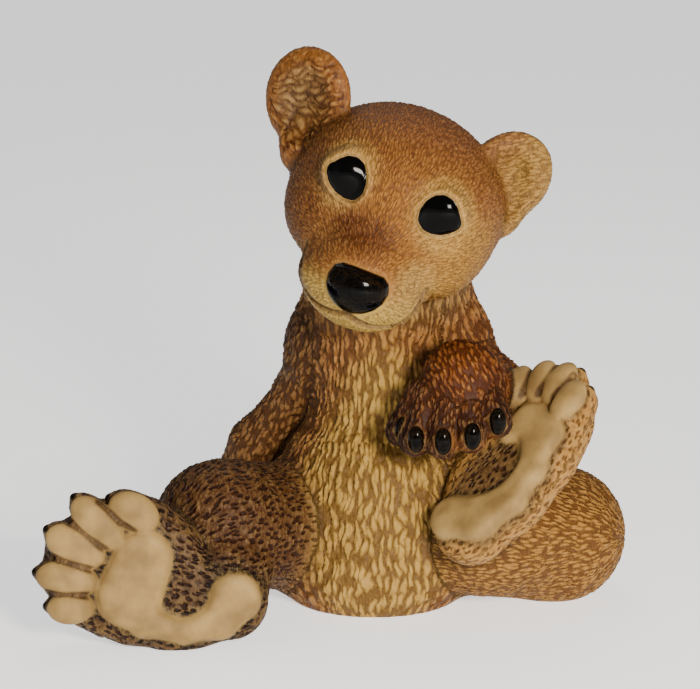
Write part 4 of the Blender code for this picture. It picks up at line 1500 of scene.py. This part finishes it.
@dataclass(frozen=True)
class PaintedResin:
    """Painted cast polyester resin: airbrushed browns, a dark wash in the carving, dry-brushed crests
    and clear gloss over black on eyes, nose and claws. It gives a satin coat with sharp wet blacks."""

    wash: str = "745A44"  # multiplies the coat in the grooves
    crest: str = "E0B870"
    crest_share: float = 0.55
    black: str = "030303"
    coat_roughness: float = 0.56
    gloss_roughness: float = 0.1
    grain: float = 0.9  # millimetres of the paint's grain, coarser than real so that it shows
    patches: float = 14.0  # millimetres across a drift of the dry brush
    grain_depth: float = 0.0003
    hair_depth: float = 0.0012
    hair_share: float = 1.0
    bend: float = 0.5  # how far the tufts swing to their sides, in tufts
    bend_length: float = 13.0  # millimetres
    tuft_width: float = 0.38  # hundredths
    tuft_length: float = 1.3
    rings: float = 2.0  # rings of tufts for each doubling of the distance from the nose
    streaks: tuple = (1000.0, 1000.0, 260.0)  # cells a metre of the fine streaks, which run down
    resin_ior: float = 1.5
    gloss_ior: float = 1.45
    sheen: float = 0.16
    gloss: float = 0.08

    def build(self) -> bpy.types.Material:
        """Mixes the finish from the skin's attributes.

        Returns:
            The material.
        """
        material = bpy.data.materials.new("airbrushed_cast_resin")
        material.use_nodes = True
        tree = material.node_tree
        surface = tree.nodes["Principled BSDF"]
        coat = add_node(tree, "ShaderNodeAttribute", {"attribute_name": "coat"}).outputs["Color"]
        tone = add_node(tree, "ShaderNodeAttribute", {"attribute_name": "tone"}).outputs["Fac"]
        black = add_node(tree, "ShaderNodeAttribute", {"attribute_name": "black"}).outputs["Fac"]
        hair = add_node(tree, "ShaderNodeAttribute", {"attribute_name": "hair"}).outputs["Fac"]
        pad = add_node(tree, "ShaderNodeAttribute", {"attribute_name": "pad"}).outputs["Fac"]
        comb = add_node(tree, "ShaderNodeAttribute", {"attribute_name": "comb"}).outputs["Vector"]
        place = add_node(tree, "ShaderNodeTexCoord").outputs["Object"]
        speckle = add_node(
            tree, "ShaderNodeTexNoise", Vector=place, Scale=NOISE_CELLS / self.grain, Detail=3.0, Roughness=0.6
        ).outputs["Fac"]
        patch = add_node(
            tree, "ShaderNodeTexNoise", Vector=place, Scale=NOISE_CELLS / self.patches, Detail=2.0
        ).outputs["Fac"]
        sunk = add_node(tree, "ShaderNodeAttribute", {"attribute_name": "sunk"}).outputs["Fac"]
        nearest = self.tufts(tree, comb)
        tuft = add_node(
            tree, "ShaderNodeMix", {"data_type": "FLOAT"}, _0=sunk,
            _2=self.spread(tree, nearest, 0.24, 0.52, 1.0, 0.0), _3=self.spread(tree, nearest, 0.14, 0.36, 0.0, 1.0),
        ).outputs[0]
        streak = add_node(
            tree, "ShaderNodeTexNoise",
            Vector=add_node(tree, "ShaderNodeVectorMath", {"operation": "MULTIPLY"}, _0=place, _1=self.streaks).outputs[0],
            Scale=1.0, Detail=2.0, Roughness=0.7,
        ).outputs["Fac"]
        combed = add_node(tree, "ShaderNodeMath", {"operation": "MULTIPLY"}, _0=hair, _1=self.hair_share).outputs[0]
        fine = add_node(tree, "ShaderNodeMix", {"data_type": "FLOAT"}, _0=combed, _2=1.0, _3=tuft).outputs[0]
        mixed = self.times(tree, fine, self.spread(tree, tone, 0.0, 1.0, self.spread(tree, hair, 0.0, 1.0, 0.0, 0.4), 1.0))
        uneven = self.spread(tree, streak, 0.3, 0.7, -0.22, 0.22)
        level = add_node(tree, "ShaderNodeMath", {"operation": "ADD"}, _0=mixed, _1=uneven).outputs[0]
        depth = self.spread(tree, hair, 0.0, 1.0, 1.0, 0.8)
        washed = self.times(tree, self.spread(tree, level, 0.62, 0.02, 0.0, 1.0), depth)
        height = self.spread(tree, hair, 0.0, 1.0, 0.45, 0.3)
        dusted = self.times(tree, self.spread(tree, level, 0.7, 1.1, 0.0, 1.0), height)
        drifted = self.times(tree, dusted, self.spread(tree, patch, 0.3, 0.7, 0.45, 1.0))
        bare = self.times(tree, drifted, self.spread(tree, pad, 0.0, 1.0, 1.0, 0.35))
        tinted = {"data_type": "RGBA", "blend_type": "MULTIPLY"}
        deep = add_node(tree, "ShaderNodeMix", tinted, _0=1.0, _6=coat, _7=linear(self.wash)).outputs[2]
        grooves = add_node(tree, "ShaderNodeMix", {"data_type": "RGBA"}, _0=washed, _6=coat, _7=deep).outputs[2]
        light = add_node(
            tree, "ShaderNodeMix", {"data_type": "RGBA"}, _0=self.crest_share, _6=coat, _7=linear(self.crest)
        ).outputs[2]
        crests = add_node(tree, "ShaderNodeMix", {"data_type": "RGBA"}, _0=bare, _6=grooves, _7=light).outputs[2]
        stain = self.times(tree, self.spread(tree, patch, 0.66, 0.36, 0.0, 0.45), pad)
        stained = add_node(tree, "ShaderNodeMix", {"data_type": "RGBA"}, _0=stain, _6=crests, _7=deep).outputs[2]
        glossed = self.spread(tree, black, 0.06, 0.0, 0.0, 1.0)
        colour = add_node(
            tree, "ShaderNodeMix", {"data_type": "RGBA"}, _0=glossed, _6=stained, _7=linear(self.black)
        ).outputs[2]
        tree.links.new(colour, surface.inputs["Base Color"])
        worn = self.spread(tree, speckle, 0.3, 0.7, self.coat_roughness - 0.06, self.coat_roughness + 0.08)
        rough = add_node(
            tree, "ShaderNodeMix", {"data_type": "FLOAT"}, _0=glossed, _2=worn, _3=self.gloss_roughness
        ).outputs[0]
        tree.links.new(rough, surface.inputs["Roughness"])
        tree.links.new(self.spread(tree, glossed, 0.0, 1.0, self.resin_ior, self.gloss_ior), surface.inputs["IOR"])
        tree.links.new(
            self.spread(tree, glossed, 0.0, 1.0, self.sheen, self.gloss), surface.inputs["Specular IOR Level"]
        )
        strength = self.spread(tree, glossed, 0.0, 1.0, 0.3, 0.0)
        grainy = add_node(tree, "ShaderNodeBump", Strength=strength, Distance=self.grain_depth, Height=speckle)
        stands = self.times(tree, hair, self.spread(tree, glossed, 0.0, 1.0, 0.85, 0.0))
        hairy = add_node(
            tree, "ShaderNodeBump", Strength=stands, Distance=self.hair_depth, Height=tuft,
            Normal=grainy.outputs["Normal"],
        )
        tree.links.new(hairy.outputs["Normal"], surface.inputs["Normal"])
        return material

    def tufts(self, tree: bpy.types.NodeTree, comb: bpy.types.NodeSocket) -> bpy.types.NodeSocket:
        """Scatters fine tufts, in rings round an axis that hold more tufts the wider they are.

        Args:
            tree: Node tree to work in.
            comb: Output with the angle round the axis, the distance from it and the way along it.

        Returns:
            The output of the distance to the nearest tuft, counted in tufts.
        """
        parts = add_node(tree, "ShaderNodeSeparateXYZ", Vector=comb).outputs
        octave = add_node(tree, "ShaderNodeMath", {"operation": "LOGARITHM"}, _0=parts["Y"], _1=2.0).outputs[0]
        ring = add_node(
            tree, "ShaderNodeMath", {"operation": "FLOOR"}, _0=self.times(tree, octave, self.rings)
        ).outputs[0]
        wide = add_node(
            tree, "ShaderNodeMath", {"operation": "POWER"}, _0=2.0, _1=self.times(tree, ring, 1.0 / self.rings)
        ).outputs[0]
        place = add_node(tree, "ShaderNodeTexCoord").outputs["Object"]
        bends = add_node(
            tree, "ShaderNodeTexNoise", Vector=place, Scale=NOISE_CELLS / self.bend_length, Detail=1.0
        ).outputs["Fac"]
        turn = add_node(
            tree, "ShaderNodeMath", {"operation": "ADD"},
            _0=self.times(tree, self.times(tree, parts["X"], wide), 1.0 / self.tuft_width),
            _1=self.spread(tree, bends, 0.3, 0.7, -self.bend, self.bend),
        ).outputs[0]
        turn = add_node(
            tree, "ShaderNodeMath", {"operation": "ADD"}, _0=turn, _1=self.times(tree, ring, 17.3)
        ).outputs[0]
        sheet = add_node(
            tree, "ShaderNodeCombineXYZ", X=turn, Y=self.times(tree, parts["Z"], 1.0 / self.tuft_length)
        ).outputs[0]
        return add_node(
            tree, "ShaderNodeTexVoronoi", {"voronoi_dimensions": "2D"}, Vector=sheet, Scale=1.0, Randomness=0.9
        ).outputs["Distance"]

    def times(self, tree: bpy.types.NodeTree, one: object, other: object) -> bpy.types.NodeSocket:
        """The output of two values multiplied."""
        return add_node(tree, "ShaderNodeMath", {"operation": "MULTIPLY"}, _0=one, _1=other).outputs[0]

    def spread(self, tree: bpy.types.NodeTree, value: object, low: float, high: float,
               start: float, end: float) -> bpy.types.NodeSocket:
        """Spreads a value evenly from one range over another.

        Args:
            tree: Node tree to work in.
            value: Output to spread.
            low: Value that gives start.
            high: Value that gives end.
            start: Result at low.
            end: Result at high.

        Returns:
            The output of the result.
        """
        return add_node(
            tree, "ShaderNodeMapRange", {"clamp": True}, Value=value,
            From_Min=low, From_Max=high, To_Min=start, To_Max=end,
        ).outputs["Result"]


class Painter:
    """Airbrushes the coat: a base for each part of the body and soft spots over them, with painted shade in creases,
    round the pads, under the jaw and on one digit.
    """

    BASES = {
        "torso": "85592A",
        "left_arm": "6C4926",
        "right_arm": "6A380F",
        "left_leg": "3A1E09",
        "right_leg": "8E642B",
        "left_paw": "56300E",
        "left_foot": "341E0E",
        "right_foot": "8E6630",
        "right_paw": "391E0C",
        "left_ear": "70451A",
        "right_ear": "8E6C35",
        "head": "794D20",
    }
    SOFTNESS = 0.9  # hundredths over which two bases run into one another
    PAD = "A98B54"
    LINE = "351D0D"
    # pairs of parts whose crease gets no painted shade
    JOINED = (("right_arm", "right_paw"), ("left_arm", "left_paw"), ("torso", "right_arm"), ("head", "right_ear"))
    CREASE_SHADE_REACH = 1.1  # how far the dark wash and painted shade in the crease between two parts reach, in hundredths

    def __init__(self, clay: Clay, head: Head, feet: dict) -> None:
        """Prepares the paint.

        Args:
            clay: Forms of the figure.
            head: Head of the cub.
            feet: The hind feet by the names of their groups.
        """
        self.clay = clay
        self.head = head
        self.feet = feet

    def sprays(self) -> list:
        """The soft spots, in the order in which they are sprayed."""
        ball = self.head.frame.ball
        left, right = self.feet["left_foot"].frame, self.feet["right_foot"].frame
        return [
            Spray("9C7B3A", Ball((9.0, -20.0, 24.0), (16.0, 14.0, 27.0)), 7.0, 1.0, ("torso",)),
            Spray("82693A", Ball((9.0, -14.0, 59.0), (24.0, 16.0, 7.0)), 6.0, 0.6, ("torso",)),
            Spray("784A26", ball((0.0, 4.0, 19.0), (17.0, 15.0, 8.0)), 7.0, 0.7),
            Spray("80531C", ball((6.0, -15.0, 3.0), (12.0, 8.0, 10.0)), 6.0, 0.6),
            Spray("50290A", ball((-2.0, -17.0, 0.5), (6.0, 6.0, 4.0)), 4.0, 0.85),
            Spray("A07C3E", ball((-9.4, -14.0, 7.8), (6.4, 5.0, 6.4)), 3.0, 0.8),
            Spray("A07C3E", ball((9.4, -14.0, 7.0), (6.8, 5.0, 7.0)), 3.5, 0.85),
            Spray("9A7F3C", ball((0.0, -20.0, -12.0), (12.0, 8.0, 6.0)), 3.5, 0.95),
            Spray("997A40", ball((8.5, -17.0, -6.5), (6.0, 6.0, 5.5)), 4.0, 0.8),
            Spray("6E481D", ball((-8.0, -15.0, -5.0), (5.0, 6.0, 5.0)), 3.5, 0.6),
            Spray("5C3614", ball((-14.0, -8.0, 0.0), (5.0, 9.0, 10.0)), 5.0, 0.7),
            # painted shadow under the jaw on the viewer's left
            Spray("2A170A", ball((-9.6, -14.8, -11.8), (4.0, 5.0, 3.4)), 3.0, 0.8),
            Spray("967031", ball((13.5, -8.0, -1.0), (6.0, 8.0, 9.0)), 5.0, 0.7),
            Spray("604A29", ball((-23.2, -4.0, 12.4), (5.8, 7.0, 7.6), (0.0, 0.0, -20.0)), 2.5, 0.9, ("left_ear",)),
            Spray("907642", ball((19.4, -3.0, 11.0), (7.0, 5.0, 8.4), (0.0, 0.0, 22.0)), 2.5, 0.9, ("right_ear",)),
            Spray("321D10", left.ball((7.0, -1.0, 0.0), (8.0, 6.0, 4.0)), 3.0, 0.8),
            Spray("2E1C15", right.ball((10.0, 0.5, 0.0), (9.0, 5.5, 4.0)), 3.0, 0.8),
            Spray("9C6428", Ball((23.0, -29.0, 35.6), (6.0, 2.4, 1.8)), 1.8, 0.6),
            # painted shadow over the paw's digit on the viewer's left
            Spray("2A1206", Ball((11.8, -27.0, 37.4), (3.2, 4.5, 5.4)), 1.3, 0.9, ("right_paw",)),
        ]

    def coat(self, skin: Skin) -> np.ndarray:
        """Works out the colour of the coat.

        Args:
            skin: The thinned skin.

        Returns:
            Linear colours with full alpha, one a row.
        """
        points, shares, pads = skin.points, skin.shares, skin.pads
        weights = np.exp(-np.clip(shares - shares.min(axis=1)[:, None], 0.0, 20.0) / self.SOFTNESS)
        weights /= weights.sum(axis=1)[:, None]
        names = [group.name for group in self.clay.groups]
        bases = np.array([linear(self.BASES[group.name]) for group in self.clay.groups], np.float32)
        colours = weights @ bases
        for spray in self.sprays():
            gap = spray.form.distance(points)
            cover = np.clip(0.5 - gap / spray.fade, 0.0, 1.0)
            cover = (cover * cover * (3.0 - 2.0 * cover) * spray.strength)[:, None]
            if spray.groups:
                cover *= weights[:, [names.index(name) for name in spray.groups]].sum(axis=1)[:, None]
            colours += (np.array(linear(spray.colour), np.float32) - colours) * cover
        order = np.argsort(shares, axis=1)[:, :2]
        joined = [{names.index(one), names.index(other)} for one, other in self.JOINED]
        # painted shade, with a dark wash, darkens the crease where two parts meet, except between the pairs in JOINED
        crease_shade = np.exp(-np.clip(np.take_along_axis(shares, order, axis=1)[:, 1], 0.0, FAR) / self.CREASE_SHADE_REACH)
        for pair in joined:
            crease_shade *= ~(np.isin(order, list(pair)).all(axis=1))
        crease_shade = crease_shade[:, None]
        colours *= 1.0 - 0.75 * np.clip(crease_shade - 0.1, 0.0, 1.0)
        pad = np.clip(1.0 - (pads - 0.05) / 0.25, 0.0, 1.0)[:, None]
        colours += (np.array(linear(self.PAD), np.float32) - colours) * pad
        # brown airbrush and painted shade round the edges of the pads, where they rise from the fur
        rim = (np.exp(-(((pads - 0.5) / 0.45) ** 2)) * (pads < 3.0))[:, None]
        colours *= 1.0 - 0.8 * rim
        dark = np.clip(1.0 - (skin.lines - 0.14) / 0.36, 0.0, 1.0)[:, None]
        colours += (np.array(linear(self.LINE), np.float32) - colours) * dark * 0.9
        lid = np.exp(-(((skin.eyes - 0.2) / 0.28) ** 2))[:, None]
        colours *= 1.0 - 0.7 * lid
        colours[:, 3] = 1.0
        return colours.astype(np.float32)


def store(mesh: bpy.types.Mesh, name: str, values: np.ndarray) -> None:
    """Keeps a number or a colour at each vertex of a mesh.

    Args:
        mesh: The mesh.
        name: Name of the attribute.
        values: One value or one colour a vertex.
    """
    if values.ndim == 1:
        mesh.attributes.new(name, "FLOAT", "POINT").data.foreach_set("value", values.astype(np.float32))
    elif values.shape[1] == 3:
        mesh.attributes.new(name, "FLOAT_VECTOR", "POINT").data.foreach_set("vector", values.ravel())
    else:
        mesh.attributes.new(name, "FLOAT_COLOR", "POINT").data.foreach_set("color", values.ravel())


def thinned_mesh(mesh: bpy.types.Mesh, freedom: np.ndarray) -> bpy.types.Mesh:
    """Thins a mesh to the triangles that a piece may have.

    Args:
        mesh: The fine mesh.
        freedom: How freely each point is thinned, from 0 to 1.

    Returns:
        The thinned mesh.
    """
    thing = bpy.data.objects.new("thinning", mesh)
    bpy.context.scene.collection.objects.link(thing)
    group = thing.vertex_groups.new(name="freedom")
    for share in np.unique(freedom):
        group.add(np.flatnonzero(freedom == share).tolist(), float(share), "REPLACE")
    sparse = thing.modifiers.new("sparse", "DECIMATE")
    sparse.ratio = min(1.0, TRIANGLES_KEPT / (2 * len(mesh.polygons)))
    sparse.vertex_group = group.name
    sparse.vertex_group_factor = 6.0
    graph = bpy.context.evaluated_depsgraph_get()
    result = bpy.data.meshes.new_from_object(thing.evaluated_get(graph))
    bpy.data.objects.remove(thing)
    return result


class Bear:
    """The whole casting: modelled, carved, thinned, painted."""

    HAIR_AXIS = 5.0  # how far below the head's middle the hair starts
    AXES = {
        # start and end of each axis, and how much wider and longer the tufts are there than on the head
        "torso": ((8.5, 2.0, 60.0), (8.5, 0.0, 0.0), 2.3, 2.7),
        "left_arm": ((0.0, 3.0, 52.0), (-17.0, 8.0, 5.0), 2.0, 1.7),
        "right_arm": ((20.0, 2.0, 54.0), (27.0, -12.0, 40.0), 1.9, 1.6),
        "right_paw": ((24.0, -17.0, 50.0), (21.0, -25.0, 34.0), 1.6, 1.5),
        "left_leg": ((2.0, 2.0, 14.0), (-22.0, -20.0, 14.0), 2.0, 1.6),
        "right_leg": ((14.0, 0.0, 14.0), (48.0, -6.0, 12.0), 1.6, 1.4),
        "left_foot": ((-14.0, -30.0, 10.0), (-44.0, -32.0, 18.0), 2.0, 1.6),
        "right_ear": ((22.0, 6.0, 74.0), (42.0, 8.0, 78.0), 1.3, 1.3),
        "right_foot": ((20.0, -22.0, 16.0), (38.0, -12.0, 38.0), 1.9, 1.5),
    }
    PITTED = ("left_leg", "left_foot", "right_foot")  # where the tufts are pits
    BODY_HAIR = 0.95  # strength of the fine hair on the body
    HEAD_HAIR = 0.6  # and on the head and its ears
    HAIR_EDGE = 0.9  # how far from eyes and nose the hair is full
    FACE_FREEDOM = 0.2  # how freely eyes, nose and mouth are thinned
    FRONT_FREEDOM = 0.6  # and what else is seen from the front, against 1 for the back

    def __init__(self) -> None:
        """Gathers what the casting is made from."""
        self.head = Head()
        self.feet = {"left_foot": left_foot(), "right_foot": right_foot()}
        self.clay = Clay(self.head, Body())

    def skin(self, mesh: bpy.types.Mesh) -> Skin:
        """What the carver needs to know of the smooth mesh."""
        points = points_of(mesh)
        shares = np.full((len(points), len(self.clay.groups)), FAR, np.float32)
        self.clay.distance(points, shares)
        black, pads, lines = (
            self.clay.painted(points, paint) for paint in (Finishing.BLACK, Finishing.PAD, Finishing.DARK_LINE)
        )
        gap = self.head.eye_gap(points)
        return Skin(points, normals_of(mesh), shares, np.minimum(black, gap), pads, lines, gap)

    def combed(self, points: np.ndarray, owner: np.ndarray) -> np.ndarray:
        """Lays the fine hair out flat: on the head round the nose, elsewhere round the limbs' axes.

        Args:
            points: Places in hundredths.
            owner: Number of the group at each place.

        Returns:
            At each the angle round the axis, the distance from it and the way along it, in units of the
            head's tufts.
        """
        local = self.head.frame.local(points)
        round_nose = np.arctan2(local[:, 0], local[:, 2] + self.HAIR_AXIS)
        out = np.hypot(local[:, 0], local[:, 2] + self.HAIR_AXIS)
        away = np.linalg.norm(local - np.array((0.0, -24.0, -self.HAIR_AXIS), np.float32), axis=1)
        combed = np.stack((round_nose, np.maximum(out, 1.0), away), axis=1)
        for number, group in enumerate(self.clay.groups):
            if group.name not in self.AXES:
                continue
            start, end, wider, longer = self.AXES[group.name]
            along = (Vector(end) - Vector(start)).normalized()
            side = along.orthogonal().normalized()
            mine = owner == number
            offset = (points[mine] - np.array(start, np.float32)) @ np.array((side, along.cross(side), along)).T
            turn = np.arctan2(offset[:, 0], offset[:, 1])
            out = np.maximum(np.hypot(offset[:, 0], offset[:, 1]), 1.0)
            combed[mine] = np.stack((turn / wider, out, offset[:, 2] / longer + 9.0 * number), axis=1)
        return combed

    def build(self, grain: float) -> bpy.types.Object:
        """Makes the casting.

        Args:
            grain: Spacing of the points it is carved with, in hundredths.

        Returns:
            The figure's object.
        """
        mesh = self.clay.modelled(grain)
        log.info("modelled: %d points", len(mesh.vertices))
        skin = self.skin(mesh)
        area = sum(face.area for face in mesh.polygons) / len(mesh.vertices)
        rise, tone = Carver(self.clay, self.head, self.feet).carve(skin, area)
        rise += self.head.lid_rise(skin.eyes)
        set_points(mesh, skin.points + skin.normals * rise[:, None])
        log.info("carved")
        store(mesh, "tone", tone)
        fine = np.minimum(skin.eyes, np.minimum(skin.black, skin.lines)) < 1.6
        freedom = np.where(fine, self.FACE_FREEDOM, np.where(skin.normals[:, 1] > 0.3, 1.0, self.FRONT_FREEDOM))
        mesh = thinned_mesh(mesh, freedom)
        thinned = self.skin(mesh)
        painter = Painter(self.clay, self.head, self.feet)
        store(mesh, "coat", painter.coat(thinned))
        store(mesh, "black", thinned.black)
        smooth = np.minimum(thinned.black, thinned.lines)
        names = [group.name for group in self.clay.groups]
        fine = ("head", "right_ear")
        haired = np.array([self.HEAD_HAIR if name in fine else self.BODY_HAIR * (name in self.AXES) for name in names])
        smooth = np.minimum(smooth, thinned.pads)
        sunk = np.array([name in self.PITTED for name in names], np.float32)
        store(mesh, "sunk", sunk[thinned.owner])
        store(mesh, "hair", haired[thinned.owner] * np.clip(smooth / self.HAIR_EDGE, 0.0, 1.0))
        store(mesh, "comb", self.combed(thinned.points, thinned.owner))
        store(mesh, "pad", np.clip(1.0 - thinned.pads / 0.3, 0.0, 1.0))
        mesh.transform(Matrix.Scale(HUNDREDTH, 4) @ Matrix.Translation(-Vector(MIDDLE)))
        mesh.shade_smooth()
        mesh.name = "carved_bear"
        mesh.materials.append(PaintedResin().build())
        figure = bpy.data.objects.new("carved_bear", mesh)
        bpy.context.scene.collection.objects.link(figure)
        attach(figure, "root")
        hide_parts("bear_figurine")
        log.info("carved_bear: %d triangles", len(mesh.polygons))
        return figure


def main() -> None:
    """Builds the figure and its studio."""
    Bear().build(FINE_GRAIN)
    Studio().build()


if __name__ == "__main__":
    logging.basicConfig(level=logging.INFO, format="%(relativeCreated)d %(message)s")
    main()
